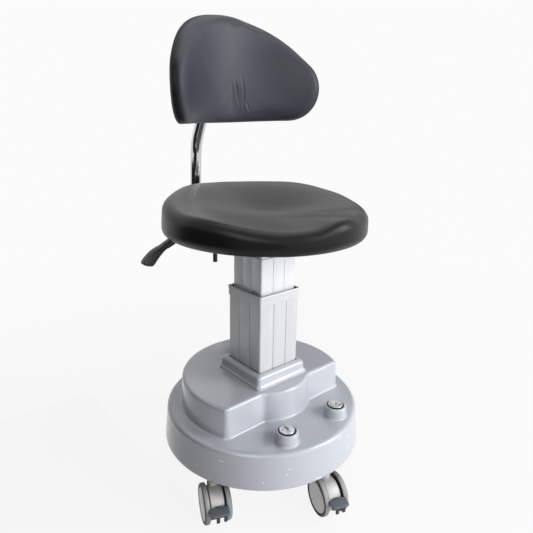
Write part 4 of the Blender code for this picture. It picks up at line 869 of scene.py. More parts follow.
class STOOL_OT_buttons(bpy.types.Operator):
    """Model the two dished chrome foot buttons"""

    bl_idname = "stool.buttons"
    bl_label = "Foot buttons"

    def execute(self, context):
        chrome = polished_finish("button_chrome", CHROME, (0.24, 0.30))
        black = moulded_finish("button_sleeve", BLACK_PLASTIC_AND_SHADOW)
        dish = [(0.0, -0.0036), (0.0012, -0.0034), (0.0026, -0.0027), (0.0040, -0.0019), (0.0056, -0.0014)]
        edge = [(0.0080, -0.0009), (0.0105, -0.0004), (0.0122, -0.0001), (0.0133, 0.0), (0.0142, -0.0003)]
        for name in ("up_button", "down_button"):
            low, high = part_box(name)
            radius = (high.x - low.x) / 2
            centre = (low + high) / 2
            tall = high.z - low.z
            step = [(0.0147, -0.0009), (0.0147, -0.0012), (radius - 0.0005, -0.0012)]
            sleeve = [(radius, -0.0017), (radius, 0.0072 - tall), (radius * 0.97, 0.0065 - tall)]
            stalk = [(0.0048, 0.0065 - tall), (0.0048, 0.0004 - tall), (0.0044, -tall), (0.0, -tall)]
            top = high.z
            place = Matrix.Translation((centre.x, centre.y, top))
            button = turned(name + "_cap", dish + edge + step + sleeve + stalk, 64, place)
            paint_faces(button, [chrome, black], lambda middle, normal: self.on_sleeve(middle, centre, top))
            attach(button, name)
            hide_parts(name)
        return {"FINISHED"}

    def on_sleeve(self, middle, centre, top):
        """False for the chrome dish and true for the black sleeve round and under it."""
        return out_from(middle, centre) > 0.0146 or middle.z < top - 0.0040


# Column
class STOOL_OT_column(bpy.types.Operator):
    """Model the two grooved columns and the collar between them"""

    bl_idname = "stool.column"
    bl_label = "Lifting column"

    def execute(self, context):
        settings = context.scene.stool_column
        tint = settings.aluminium
        drawn = ((420.0, 420.0, 2.0), (0.36, 0.46), 0.25, 0.08)
        satin = brushed_finish("column_aluminium", tint, *drawn)
        # Painted light: the inner column and its cap take a lighter copy of the same aluminium, as they stand
        # higher, nearer the lamps.
        bright = brushed_finish("slider_aluminium_painted_lighter", shade(tint, 1.28), *drawn)
        ringed = ((30.0, 30.0, 900.0), (0.36, 0.44), 0.2, 0.03)
        trim = brushed_finish("collar_aluminium", shade(tint, 1.02), *ringed)
        dark = moulded_finish("wiper_black", (0.02, 0.02, 0.022))
        for name, body, metal in (("outer_column", "base", satin), ("inner_column", "lift", bright)):
            low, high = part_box(name)
            outside = self.outline(high.x, settings)
            inside = self.on_square(outside, high.x - 0.003)
            ends = ((outside, low), (outside, high), (inside, high), (inside, low), (outside, low))
            rings = [[Vector((x, y, end.z)) for x, y in points] for points, end in ends]
            tube = skin(name + "_tube", rings)
            give(tube, metal)
            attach(tube, body)
            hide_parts(name)
        # The cap gets the same painted lighter aluminium.
        give(frame["nodes"]["column_cap"], bright)
        collar = skin("collar_trim", self.collar_rings(settings))
        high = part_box("column_collar")[1]
        seal = high.z - settings.rim_depth + 0.0003
        inner = high.x - settings.rim_width - 0.0002
        paint_faces(collar, [trim, dark], lambda middle, normal: in_square(middle, inner) and middle.z < seal)
        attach(collar, "base")
        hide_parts("column_collar")
        return {"FINISHED"}

    def on_square(self, outline, half):
        """The same points drawn in to a plain square."""
        return [(x * half / max(abs(x), abs(y)), y * half / max(abs(x), abs(y))) for x, y in outline]

    def outline(self, half, settings):
        """A square section with rounded corners and two lipped grooves in each face."""
        lip = settings.groove_width / 2
        groove = ((-1.3, 0.0), (-1.1, 0.04), (-0.95, 0.2), (-0.9, 0.9), (-0.8, 1.0))
        groove += tuple((-shift, depth) for shift, depth in reversed(groove))
        points = []
        for quarter in range(4):
            turn = Matrix.Rotation(quarter * math.pi / 2, 2)
            deep = settings.groove_depth * (1.0 if quarter % 2 else 2.0)
            face = []
            for middle in (-half / 3, half / 3):
                face += [(half - depth * deep, middle + shift * lip) for shift, depth in groove]
            corner = half - settings.corner_round
            for sine, cosine in bends(8):
                face.append((corner + settings.corner_round * cosine, corner + settings.corner_round * sine))
            points += [tuple(turn @ Vector(point)) for point in face]
        return points

    def collar_rings(self, settings):
        """Rings up the collar's outside, over its rim to the ledge, and down inside."""
        low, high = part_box("column_collar")
        foot, top, outer = low.z, high.z, high.x
        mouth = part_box("inner_column")[1].x + 0.0012
        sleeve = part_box("outer_column")[1].x + 0.0003
        turns = spaced_turns(160, CORNERS, 4.0, 6.0)
        rim, ledge = outer - settings.rim_width, top - settings.rim_depth
        wall = [(sleeve, foot), (outer - 0.0006, foot), (outer - 0.0001, foot + 0.0004)]
        bead = [(outer - 0.0002, top - 0.0066), (outer + 0.0003, top - 0.0060)]
        edge = [(outer + 0.0004, top - 0.0012), (outer, top - 0.0003), (outer - 0.0006, top)]
        lip = [(rim + 0.0004, top), (rim, top - 0.0004), (rim - 0.0002, ledge)]
        wiper = [(mouth + 0.0004, ledge), (mouth, ledge - 0.0004), (mouth, top - 0.0040)]
        inside = [(sleeve, top - 0.0040), (sleeve, foot)]
        rings = []
        for half, height in wall + bead + edge + lip + wiper + inside:
            corner = 0.0036 if half > mouth + 0.002 else 0.003
            rings.append(plan_ring(square_distance(half, corner), turns, height))
        return rings


# Fixings
def screw_pattern():
    """A round-headed screw with a socket, its head towards +Z."""
    socket = [(0.0, 0.0008), (0.0019, 0.0008), (0.0020, 0.0028), (0.0022, 0.0030)]
    head = [(0.0034, 0.0029), (0.0042, 0.0023), (0.0046, 0.0012), (0.0046, -0.0010), (0.0, -0.0010)]
    return turned("screw_pattern", socket + head, 24)


# Soft pieces
def plump(piece, held, cap, pressure=4.0):
    """Fills a cushion's cover by pressure, as cloth, and lets no point move further than cap."""
    rest = [vertex.co.copy() for vertex in piece.data.vertices]
    pins = piece.vertex_groups.new(name="held")
    pins.add([number for number, point in enumerate(rest) if held(point)], 1.0, "ADD")
    cloth = piece.modifiers.new("filling", "CLOTH")
    cloth.settings.use_pressure = True
    cloth.settings.uniform_pressure_force = pressure
    cloth.settings.effector_weights.gravity = 0.0
    cloth.settings.vertex_group_mass = "held"
    cloth.settings.quality = 6
    cloth.point_cache.frame_start = 1
    cloth.point_cache.frame_end = 20
    scene = bpy.context.scene
    for number in range(1, 21):
        scene.frame_set(number)
    apply_modifiers(piece)
    scene.frame_set(1)
    moves = eased(piece, [vertex.co - start for vertex, start in zip(piece.data.vertices, rest)], rest, held)
    for vertex, start, moved in zip(piece.data.vertices, rest, moves):
        vertex.co = start + moved * min(1.0, cap / max(moved.length, WELD))
    piece.vertex_groups.clear()
    return piece


def eased(piece, moves, rest, held, rounds=24):
    """Evens out a cover's movement between neighbours, so that it swells without wrinkles."""
    near = [[] for _ in moves]
    for edge in piece.data.edges:
        first, second = edge.vertices
        near[first].append(second)
        near[second].append(first)
    free = [number for number, point in enumerate(rest) if not held(point)]
    for _ in range(rounds):
        before = moves
        moves = [move.copy() for move in before]
        for number in free:
            around = sum((before[other] for other in near[number]), Vector()) / len(near[number])
            moves[number] = before[number].lerp(around, 0.6)
    return moves


def refine(piece):
    """Relaxes a cover's small ripples and divides it once more."""
    relax = piece.modifiers.new("relax", "SMOOTH")
    relax.factor = 0.4
    relax.iterations = 3
    return smooth(divide(piece), 60.0)


class STOOL_OT_seat(bpy.types.Operator):
    """Model the dished seat and the pan under it"""

    bl_idname = "stool.seat"
    bl_label = "Seat"

    segments = 180

    def execute(self, context):
        settings = context.scene.stool_seat
        board_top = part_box("seat_board")[1].z
        crest = settings.crest_radius

        def on_board(point):
            return point.z < board_top + 0.004 and point.to_2d().length < settings.foot_radius + 0.004

        def shaded_side_share(point):
            return smooth_step(point.to_2d().length, crest - 0.008, crest + 0.010)

        seat = skin("seat_pad", self.rings(settings))
        plump(seat, on_board, settings.swell)
        refine(seat)
        leather = leather_finish("seat_leather", settings.leather, (0.32, 0.38), 0.40)
        # Painted shade: the seat's side takes the darker band tint, and the dish keeps the lighter tint as a
        # painted sheen.
        black_edge_and_painted_shade(seat, leather, shaded_side_share, settings.band, 0.20)
        give(seat, leather)
        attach(seat, "seat")
        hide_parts("seat_cushion")
        pan = skin("seat_pan", self.pan_rings())
        give(pan, moulded_finish("pan_enamel", BLACK_ENAMEL, (0.35, 0.5), 500.0, 0.1))
        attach(pan, "seat")
        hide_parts("seat_plate")
        return {"FINISHED"}

    def pan_rings(self):
        """Rings of the pressed pan, from the spigot's hole out under its floor, up its wall and back."""
        low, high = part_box("seat_plate")
        turns = spaced_turns(96, CORNERS, 14.0, 1.5)
        hole, wall, tall = 0.0131, 0.004, high.z - low.z
        floor = [(0.0420, 0.0), (0.0445, 0.0006), (0.0458, 0.0020)]
        outside = [(0.0530, tall - 0.0035), (0.0545, tall - 0.0025)]
        flange = [(high.x - 0.0006, tall - 0.0022), (high.x, tall - 0.0016), (high.x, tall)]
        inside = [(0.0510, tall), (0.0490, tall - 0.0040), (0.0420, wall + 0.0020), (0.0400, wall)]

        def circle(height):
            return [polar(hole, turn, low.z + height) for turn in turns]

        rings = [circle(0.0)]
        for half, height in floor + outside + flange + inside:
            rings.append(plan_ring(square_distance(half, half * 0.62), turns, low.z + height))
        return rings + [circle(wall), circle(0.0)]

    def crest(self, angle, settings):
        """Height of the rim's crest above the underside, by the angle from the front in degrees."""
        turned_by = abs((angle - math.degrees(settings.turn) + 180) % 360 - 180)
        thigh = settings.thigh_rise * smooth_step(turned_by, 5.0, 60.0)
        back = settings.back_rise * smooth_step(turned_by, 60.0, 150.0)
        pommel = settings.pommel_rise * math.exp(-(((angle - 2.0) / 14.0) ** 2))
        return settings.dip_crest + thigh + back + pommel

    def section(self, settings):
        """The seat's section as (radius, share of the crest's height, height added), from the middle out."""
        widest = SEAT_HIGH.x + 0.0012
        shoulder, foot = settings.shoulder, settings.foot_round
        stations = []
        for step in range(25):
            share = smooth_step(step / 24)
            stations.append((settings.crest_radius * step / 24, share, settings.dish_height * (1 - share)))
        for sine, cosine in bends(8)[1:]:
            radius = settings.crest_radius + (widest - settings.crest_radius) * sine
            stations.append((radius, 1.0, -shoulder * (1 - cosine)))
        for share in (0.75, 0.5, 0.25):
            stations.append((widest, share, (1 - share) * foot - share * shoulder))
        for sine, cosine in bends(8):
            radius = settings.foot_radius + (widest - settings.foot_radius) * cosine
            stations.append((radius, 0.0, foot * (1 - sine)))
        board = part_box("seat_board")[1]
        recess, roof = board.x + 0.0008, board.z + 0.0008 - SEAT_LOW.z
        for radius, height in ((recess + 0.003, 0.0), (recess, 0.0006), (recess, roof)):
            stations.append((radius, 0.0, height))
        return stations + [(recess * share, 0.0, roof) for share in (0.8, 0.5, 0.2, 0.0)]

    def rings(self, settings):
        """Rings from the dish's middle out over the crest, down the side and back under to the recess."""
        turns = even_turns(self.segments)
        crests = [self.crest(math.degrees(math.atan2(math.cos(t), -math.sin(t))), settings) for t in turns]
        rings = []
        for radius, share, height in self.section(settings):
            levels = [SEAT_LOW.z + crest * share + height for crest in crests]
            rings.append([polar(radius, turn, level) for turn, level in zip(turns, levels)])
        return rings


def pad_outline(half, tall, top_round, corner):
    """A function for the low and high edge of the pad's outline: a top arc, end arcs and straight runs."""
    apart = Vector((half - corner, corner - tall + top_round))
    lean = math.atan2(apart.y, apart.x) + math.acos((top_round - corner) / apart.length)
    outward = Vector((math.cos(lean), math.sin(lean)))
    first = outward * top_round + Vector((0, tall - top_round))
    last = outward * corner + Vector((half - corner, corner))

    def edges(along):
        along = abs(along)
        past = max(along - half + corner, 0.0)
        side = math.sqrt(max(corner**2 - past**2, 0.0))
        if along <= first.x:
            return corner - side, tall - top_round + math.sqrt(top_round**2 - along**2)
        if along < last.x:
            return corner - side, first.y + (last.y - first.y) * (along - first.x) / (last.x - first.x)
        return corner - side, corner + side

    return edges


def edge_reach(edges, half, middle, angle):
    """How far the outline lies from the pad's middle in a direction, found by halving."""
    near, far = 0.0, half * 1.5
    for _ in range(32):
        out = (near + far) / 2
        along, height = out * math.cos(angle), middle + out * math.sin(angle)
        low, high = edges(along)
        if abs(along) < half and low < height < high:
            near = out
        else:
            far = out
    return near


class STOOL_OT_back(bpy.types.Operator):
    """Model the wrapped back pad and the creases in its cover, and the shell, clamp and screws behind it"""

    bl_idname = "stool.back"
    bl_label = "Back pad"

    slack = 0.002
    growth = 0.0012
    face_share = 0.72

    def execute(self, context):
        settings = context.scene.stool_back
        middle = self.middle(settings)
        sizes = (settings.half_length, settings.height, settings.top_round, settings.corner_round)
        depths = (settings.front_depth - self.slack, settings.back_depth - self.slack)

        def held(point):
            return self.depth(point, settings) > settings.back_depth * 0.6

        def edge_share(point):
            return smooth_step(self.depth(point, settings), -0.014, 0.002)

        place = self.cushion(settings, sizes, middle, 0.0, depths, (3.6, 2.8), self.growth)
        pad = pillow("back_pad", 47, place)
        plump(pad, held, settings.swell)
        refine(pad)
        leather = self.creased_leather(settings)
        black_edge_and_painted_shade(pad, leather, edge_share, settings.band, 0.14)
        give(pad, leather)
        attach(pad, "back")
        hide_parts("back_cushion")
        self.shell(settings, middle)
        return {"FINISHED"}

    def creased_leather(self, settings):
        """Leather with three creases in the cover's front, low down and right of the middle."""
        material = leather_finish("back_leather", settings.leather, (0.46, 0.54), 0.42)
        tree = material.node_tree
        foot = PIVOT.z + settings.foot_height
        creases = (
            (0.0162, -0.20, -2.2, 0.092, 0.034, 0.9),
            (0.0322, -0.04, -3.4, 0.102, 0.006, 1.0),
            (0.0415, -0.45, 0.0, 0.048, 0.020, 0.45),
        )
        heights = []
        for place, lean, bow, top, low, depth in creases:
            values = {"Place": place, "Lean": lean, "Bow": bow, "Depth": depth}
            values.update({"Top": foot + top, "Foot": foot + low})
            heights.append(use_effect(tree, "crease", values)["Height"])
        total = maths(tree, "ADD", maths(tree, "ADD", *heights[:2]), heights[2])
        shader = tree.nodes["Principled BSDF"]
        grain = shader.inputs["Normal"].links[0].from_socket
        fold = {"Height": total, "Normal": grain, "Strength": 0.8, "Distance": 0.0022}
        feed(tree, shader, {"Normal": add_node(tree, "Bump", fold).outputs["Normal"]})
        return material

    def shell(self, settings, middle):
        """The moulded shell behind the pad, the clamp on the tube and their screws."""
        plastic = moulded_finish("back_shell", (0.020, 0.020, 0.021), (0.4, 0.55), 700.0, 0.25)
        enamel = moulded_finish("clamp_enamel", BLACK_ENAMEL, (0.32, 0.45), 500.0, 0.1)
        turned_metal = ((300.0, 300.0, 300.0), (0.22, 0.34), 1.0, 0.06)
        steel = brushed_finish("screw_steel", (0.45, 0.45, 0.46), *turned_metal)
        share = settings.board_share
        half = (settings.half_length - settings.corner_round / 2) * share
        sizes = (half, settings.height * share, settings.height * share * 0.8, settings.corner_round * share)
        lift = middle * (1 - share)
        thick = settings.board_depth / 2
        depth = settings.back_depth + 0.0008 + thick
        place = self.cushion(settings, sizes, middle * share, lift, (thick, thick), (5.0, 3.0), 0.0, depth)
        board = pillow("back_shell", 31, place)
        give(board, plastic)
        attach(board, "back")
        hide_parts("back_board")
        low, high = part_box("back_clamp")
        clamp = rounded_block("back_clamp_block", low, high, 0.005, 4)
        for side in (-1, 1):
            edge = high.x * side
            gap_low = (min(edge, edge - 0.004 * side) - 0.001, low.y + 0.0325, low.z - 0.01)
            gap_high = (max(edge, edge - 0.004 * side) + 0.001, low.y + 0.0338, high.z + 0.01)
            combine(clamp, rounded_block("clamp_split", gap_low, gap_high), "DIFFERENCE")
        smooth(clamp)
        give(clamp, enamel)
        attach(clamp, "back")
        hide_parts("back_clamp")
        screw = screw_pattern()
        places = []
        behind = settings.back_depth + settings.board_depth + 0.0002
        for along in (-0.062, 0.062):
            for height in (0.058, 0.112):
                place = self.wrapped(along, height, behind, settings)
                outward = Vector((place.x, place.y - self.axis_y(settings), 0)).normalized()
                places.append((place, outward))
        for height in (low.z + 0.016, high.z - 0.016):
            for side in (0.011, -0.011):
                places.append((Vector((side, high.y - 0.0004, height)), Vector((0, 1, 0))))
        for number, (place, outward) in enumerate(places):
            turn = outward.to_track_quat("Z", "Y").to_matrix().to_4x4()
            head = copy_to(screw, f"back_screw_{number + 1}", Matrix.Translation(place) @ turn)
            give(head, steel)
            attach(head, "back")
        bpy.data.objects.remove(screw, do_unlink=True)

    def cushion(self, settings, sizes, middle, lift, depths, powers, growth, centre=0.0):
        """A function that places a pillow's points: outline, rounded edge, then wrapped round the sitter."""
        edges = pad_outline(*sizes)
        face = self.face_share

        def place(angle, share):
            front = share < 0.5
            way = 2 * share if front else 2 * (1 - share)
            turn = math.pi / 4 * (way / face if way < face else 1 + (way - face) / (1 - face))
            power = powers[0] if front else powers[1]
            scale = (math.sin(turn) ** power + max(math.cos(turn), 0.0) ** power) ** (1 / power)
            out = edge_reach(edges, sizes[0], middle, angle) + growth
            out *= math.sin(turn) / scale
            deep = max(math.cos(turn), 0.0) / scale * (-depths[0] if front else depths[1])
            height = lift + middle + out * math.sin(angle)
            return self.wrapped(out * math.cos(angle), height, centre + deep, settings)

        return place

    def middle(self, settings):
        """Height of the pad's middle above its lower edge."""
        return settings.height * 0.45

    def axis_y(self, settings):
        """Where the wrap's upright axis stands, from the pad's back."""
        return PAD_HIGH.y - settings.back_depth - settings.wrap_radius

    def wrapped(self, along, height, depth, settings):
        middle = self.middle(settings)
        rise = height - middle
        level = middle + along * math.sin(settings.cant) + rise * math.cos(settings.cant)
        turn = (along * math.cos(settings.cant) - rise * math.sin(settings.cant)) / settings.wrap_radius
        out = settings.wrap_radius + depth
        foot = PIVOT.z + settings.foot_height
        return Vector((out * math.sin(turn), self.axis_y(settings) + out * math.cos(turn), foot + level))

    def depth(self, point, settings):
        """How far a point lies behind the pad's middle layer."""
        return math.hypot(point.x, point.y - self.axis_y(settings)) - settings.wrap_radius


# Tube and lever
class STOOL_OT_bar(bpy.types.Operator):
    """Model the bent chrome tube that carries the back"""

    bl_idname = "stool.bar"
    bl_label = "Back tube"

    def execute(self, context):
        settings = context.scene.stool_back
        low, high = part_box("back_bar")
        radius = high.x
        foot = [(0, low.y, PIVOT.z), (0, 0.255, PIVOT.z)]
        rise = [(0, 0.2445, PIVOT.z + 0.1915), (0, 0.199, PIVOT.z + 0.2915), (0, 0.199, high.z)]
        path = bent_path(foot + rise, (0.050, 0.120, 0.050))
        tube = swept("back_tube", path, [oval_ring(radius, radius, 40)] * len(path))
        give(tube, polished_finish("tube_chrome", settings.chrome, (0.035, 0.10)))
        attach(tube, "back")
        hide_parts("back_bar")
        return {"FINISHED"}


class STOOL_OT_lever(bpy.types.Operator):
    """Model the black lever paddle at the left of the seat"""

    bl_idname = "stool.lever"
    bl_label = "Lever"

    def execute(self, context):
        plastic = moulded_finish("lever_plastic", (0.014, 0.014, 0.015), (0.30, 0.45), 1200.0, 0.08)
        slope = math.radians(30.0)
        down = Vector((-math.cos(slope), 0, -math.sin(slope)))
        lift = Vector((-math.sin(slope), 0, math.cos(slope)))
        pivot = JOINTS["lever_lift"]
        rod_end = -0.108
        bend = Vector((rod_end, pivot.y, pivot.z))
        stations = (
            (0.0100, 0.0050, 0.0050, -0.0002),
            (0.0103, 0.0070, 0.0066, -0.0002),
            (0.0116, 0.0082, 0.0076, -0.0001),
            (0.0150, 0.0085, 0.0078, 0.0003),
            (0.0240, 0.0086, 0.0076, 0.0012),
            (0.0360, 0.0086, 0.0075, 0.0020),
            (0.0372, 0.0083, 0.0068, 0.0026),
            (0.0385, 0.0083, 0.0066, 0.0027),
            (0.0480, 0.0092, 0.0070, 0.0027),
            (0.0570, 0.0102, 0.0088, 0.0030),
            (0.0660, 0.0111, 0.0102, 0.0022),
            (0.0740, 0.0117, 0.0106, 0.0004),
            (0.0810, 0.0120, 0.0104, -0.0019),
            (0.0860, 0.0120, 0.0098, -0.0039),
            (0.0890, 0.0117, 0.0079, -0.0060),
            (0.0906, 0.0110, 0.0070, -0.0065),
            (0.0913, 0.0100, 0.0056, -0.0067),
            (0.0915, 0.0078, 0.0030, -0.0068),
        )
        path = [bend + down * along + lift * bow for along, wide, thick, bow in stations]
        sections = [oval_ring(wide, thick, 48, 0.55) for along, wide, thick, bow in stations]
        grip = swept("lever_paddle", path, sections)
        self.level_end(grip, path[-1], down)
        smooth(divide(grip), 50.0)
        give(grip, plastic)
        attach(grip, "lever")
        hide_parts("lever_grip")
        return {"FINISHED"}

    def level_end(self, grip, tip, down):
        """Leans the paddle's blunt end until it lies level."""
        end_length, lean = 0.022, 0.72
        for vertex in grip.data.vertices:
            back = (tip - vertex.co).dot(down)
            share = smooth_step(end_length - back, 0.0, end_length)
            above = vertex.co.z - tip.z - back * math.sin(math.radians(50))
            vertex.co += down * lean * share * above


# Casters
class STOOL_OT_casters(bpy.types.Operator):
    """Model one caster's hood, wheels, stem and pedal, and copy them to all five places"""

    bl_idname = "stool.casters"
    bl_label = "Casters"

    def execute(self, context):
        settings = context.scene.stool_casters
        stem, pin = JOINTS["caster_front_swivel"], JOINTS["caster_front_pedal_tip"]
        hub = self.hub("caster_front")
        self.radius = hub.z
        self.trail = (hub - stem).to_2d().length
        self.socket_top = stem.z
        self.wheel_middle = (JOINTS["caster_front_wheel_a_roll"] - hub).length
        self.pedal_reach = (pin - stem).to_2d().length
        self.pedal_height = pin.z
        satin = ((40.0, 900.0, 40.0), (0.40, 0.50), 0.15, 0.05)
        silver = brushed_finish("hood_silver", settings.hub, *satin)
        spun = ((60.0, 60.0, 60.0), (0.3, 0.4), 0.5, 0.04)
        disc = brushed_finish("hub_silver", shade(settings.hub, 0.92), *spun)
        drawn = ((300.0, 300.0, 60.0), (0.2, 0.3), 0.5, 0.04)
        bright = brushed_finish("stem_bright", (0.80, 0.80, 0.79), *drawn)
        tread = moulded_finish("tread_grey", settings.tread, (0.40, 0.55), 1500.0, 0.1)
        black = moulded_finish("wheel_black", (0.018, 0.018, 0.020))
        coarse = ((0.42, 0.6), 1100.0, 0.3)
        slate = moulded_finish("pedal_slate", settings.pedal, *coarse)
        # Painted shade: a darker copy of the pedal's slate goes on every face that does not look up.
        dark = moulded_finish("pedal_painted_shade", shade(settings.pedal, 0.25), *coarse)

        def wheel_part(middle, normal):
            return self.wheel_part(middle, normal, settings)

        shapes = {
            "hood": (self.hood(settings), [silver], lambda middle, normal: 0),
            "stem": (self.stem(), [bright], lambda middle, normal: 0),
            "pedal": (self.pedal(), [slate, dark], lambda middle, normal: normal.z < 0.3),
            "wheel": (self.wheel(settings), [tread, disc, black], wheel_part),
        }
        for shape in shapes.values():
            paint_faces(*shape)
        patterns = {part: shape[0] for part, shape in shapes.items()}
        for name in CASTER_NAMES:
            self.place_caster(f"caster_{name}", patterns)
        for piece in patterns.values():
            bpy.data.objects.remove(piece, do_unlink=True)
        return {"FINISHED"}

    def hub(self, body):
        """The middle between a caster's two wheels."""
        return (JOINTS[f"{body}_wheel_a_roll"] + JOINTS[f"{body}_wheel_b_roll"]) / 2

    def place_caster(self, body, patterns):
        stem = JOINTS[f"{body}_swivel"]
        trail = (self.hub(body) - stem).to_2d()
        heading = Matrix.Rotation(math.atan2(trail.y, trail.x), 4, "Z")
        place = Matrix.Translation((stem.x, stem.y, 0)) @ heading
        riders = (
            ("hood", body, "hood_silver"),
            ("stem", "base", "hood_silver"),
            ("pedal", f"{body}_pedal", "pedal_slate"),
        )
        for part, rider, slot in riders:
            piece = copy_to(patterns[part], f"{body}_{part}_shape", place)
            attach(piece, rider)
            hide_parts(f"{body}_{part}")
        for label, turn in (("a", 0.0), ("b", math.pi)):
            about = Matrix.Translation((self.trail, 0, self.radius)) @ Matrix.Rotation(turn, 4, "Z")
            piece = copy_to(patterns["wheel"], f"{body}_wheel_{label}_shape", place @ about)
            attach(piece, f"{body}_wheel_{label}")
            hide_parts(f"{body}_wheel_{label}")

    def about_axle(self):
        """Turns a shape made about Z so that its axis is the axle's, along Y."""
        return Matrix.Rotation(-math.pi / 2, 4, "X")

    def wheel_part(self, middle, normal, settings):
        """0 for the tread, 1 for the hub's disc and 2 for the black ring and the inner side."""
        out = math.hypot(middle.x, middle.z)
        from_inside = middle.y - self.wheel_middle + settings.wheel_width / 2
        if out < settings.hub_radius and from_inside > 0.006:
            return 1
        if out < 0.0360 or abs(normal.y) > 0.75:
            return 2
        return 0

    def wheel(self, settings):
        """A wheel about the axle, at its distance from the caster's middle along +Y."""
        start = self.wheel_middle - settings.wheel_width / 2
        hub, rim = settings.hub_radius, self.radius
        disc = [(0.0, 0.0107), (0.0100, 0.0107), (hub - 0.0030, 0.0105), (hub - 0.0008, 0.0101)]
        ring = [(hub, 0.0094), (hub + 0.0002, 0.0084), (0.0319, 0.0084), (0.0322, 0.0096)]
        shoulder = [(0.0328, 0.0106), (0.0338, 0.0110), (0.0354, 0.0106), (0.0366, 0.0095)]
        tread = [(rim - 0.0002, 0.0080), (rim, 0.0062), (rim, 0.0032), (rim - 0.0003, 0.0018)]
        rear = [(0.0366, 0.0008), (0.0352, 0.0002), (0.0335, 0.0002), (0.0326, 0.0006), (0.0322, 0.0020)]
        web = [(0.0150, 0.0020), (0.0095, 0.0006), (0.0064, 0.0006), (0.0064, 0.0085), (0.0, 0.0085)]
        section = disc + ring + shoulder + tread + rear + web
        profile = [(radius, start + height) for radius, height in section]
        return turned("wheel_pattern", profile, 72, self.about_axle())

    def hood(self, settings):
        """The drum between the wheels with its stem socket, stub axle and the way for the pedal's arm."""
        half = settings.hood_width / 2
        rim = settings.hood_radius
        side = [(0.0, half), (rim - 0.0040, half), (rim - 0.0014, half - 0.0003)]
        side += [(rim - 0.0004, half - 0.0010), (rim, half - 0.0022)]
        at_hub = Matrix.Translation((self.trail, 0, self.radius)) @ self.about_axle()
        hood = turned("hood_pattern", mirrored(side), 80, at_hub)
        top = self.socket_top
        socket = [(0.0, top), (0.0108, top), (0.0114, top - 0.0008), (0.0115, top - 0.0100)]
        socket += [(0.0115, self.radius), (0.0, self.radius)]
        combine(hood, turned("socket", socket, 40), "UNION")
        axle = half + 0.0096
        combine(hood, turned("axle", rod(0.0058, axle, -axle), 32, at_hub), "UNION")
        combine(hood, turned("stem_bore", rod(0.0079, top + 0.004, top - 0.024), 40), "DIFFERENCE")
        deep, across = self.pedal_reach - 0.0072, 0.00675
        way_low = (deep, -across, self.pedal_height - 0.0165)
        way_high = (self.trail + rim + 0.004, across, self.pedal_height - 0.0039)
        combine(hood, rounded_block("pedal_way", way_low, way_high), "DIFFERENCE")
        pocket_low = (deep, -across, self.pedal_height - 0.0060)
        pocket_high = (self.pedal_reach + 0.0042, across, self.pedal_height + 0.0039)
        combine(hood, rounded_block("eye_pocket", pocket_low, pocket_high), "DIFFERENCE")
        at_pin = Matrix.Translation((self.pedal_reach, 0, self.pedal_height)) @ self.about_axle()
        hole = half + 0.001
        combine(hood, turned("pin_hole", rod(0.0023, hole, -hole), 20, at_pin), "DIFFERENCE")
        return smooth(hood)

    def stem(self):
        """The turned stem from the hood's socket up into the base plate."""
        low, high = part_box("caster_front_stem")
        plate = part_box("base_plate")[0].z
        pin = [(0.0, high.z), (0.0053, high.z), (0.0055, high.z - 0.0003), (0.0055, plate - 0.0004)]
        flange = [(0.0120, plate - 0.0004), (0.0124, plate - 0.0010), (0.0124, plate - 0.0030)]
        neck = [(0.0118, plate - 0.0037), (0.0082, plate - 0.0040), (0.0075, plate - 0.0048)]
        return turned("stem_pattern", pin + flange + neck + [(0.0075, low.z), (0.0, low.z)], 48)

    def pedal(self):
        """The pedal: a sloping plate past the wheels on an arm, with two prongs under it."""
        back = self.trail + self.radius + 0.0027
        front = back + 0.0123
        half = 0.0180
        top = self.pedal_height
        rings = []
        for step in range(17):
            side = math.sin((step / 8 - 1) * math.pi / 2)
            drop = 0.0008 * side**4
            tip = front - 0.0030 * side**6
            plate = [(back - 0.0066, -0.0014), (back - 0.0058, -0.0006), (back - 0.0044, -0.0006)]
            edge = [(tip - 0.0044, -0.0038), (tip - 0.0020, -0.0046), (tip - 0.0006, -0.0056), (tip, -0.0068)]
            lip = [(tip, -0.0077), (tip - 0.0004, -0.0082), (tip - 0.0014, -0.0085), (tip - 0.0026, -0.0082)]
            inside = [(tip - 0.0034, -0.0069), (back + 0.0016, -0.0052)]
            under = [(back - 0.0012, -0.0044), (back - 0.0060, -0.0034)]
            section = plate + edge + lip + inside + under
            rings.append([Vector((x, half * side, top + z - drop)) for x, z in section])
        pedal = skin("pedal_pattern", rings, capped=True)
        pin = self.pedal_reach
        about_pin = Matrix.Translation((pin, 0, top)) @ self.about_axle()
        eye = mirrored([(0.0, 0.0062), (0.0032, 0.0062), (0.0036, 0.0058)])
        combine(pedal, turned("pedal_eye", eye, 28, about_pin), "UNION")
        neck_low = (pin - 0.0027, -0.0060, top - 0.0110)
        neck_high = (pin + 0.0027, 0.0060, top)
        combine(pedal, rounded_block("pedal_neck", neck_low, neck_high, 0.0004, 1), "UNION")
        arm_low = (pin - 0.0026, -0.0060, top - 0.0120)
        arm_high = (back + 0.0045, 0.0060, top - 0.0045)
        combine(pedal, rounded_block("pedal_arm", arm_low, arm_high, 0.0012, 2), "UNION")
        for side in (-0.0035, 0.0105):
            prong_low = (back + 0.0021, side - 0.0032, top - 0.0262)
            prong_high = (back + 0.0058, side + 0.0032, top - 0.0042)
            combine(pedal, rounded_block("pedal_prong", prong_low, prong_high, 0.0008, 2), "UNION")
        combine(pedal, turned("pedal_pin", rod(0.0019, 0.0130, -0.0130), 20, about_pin), "UNION")
        return smooth(pedal)


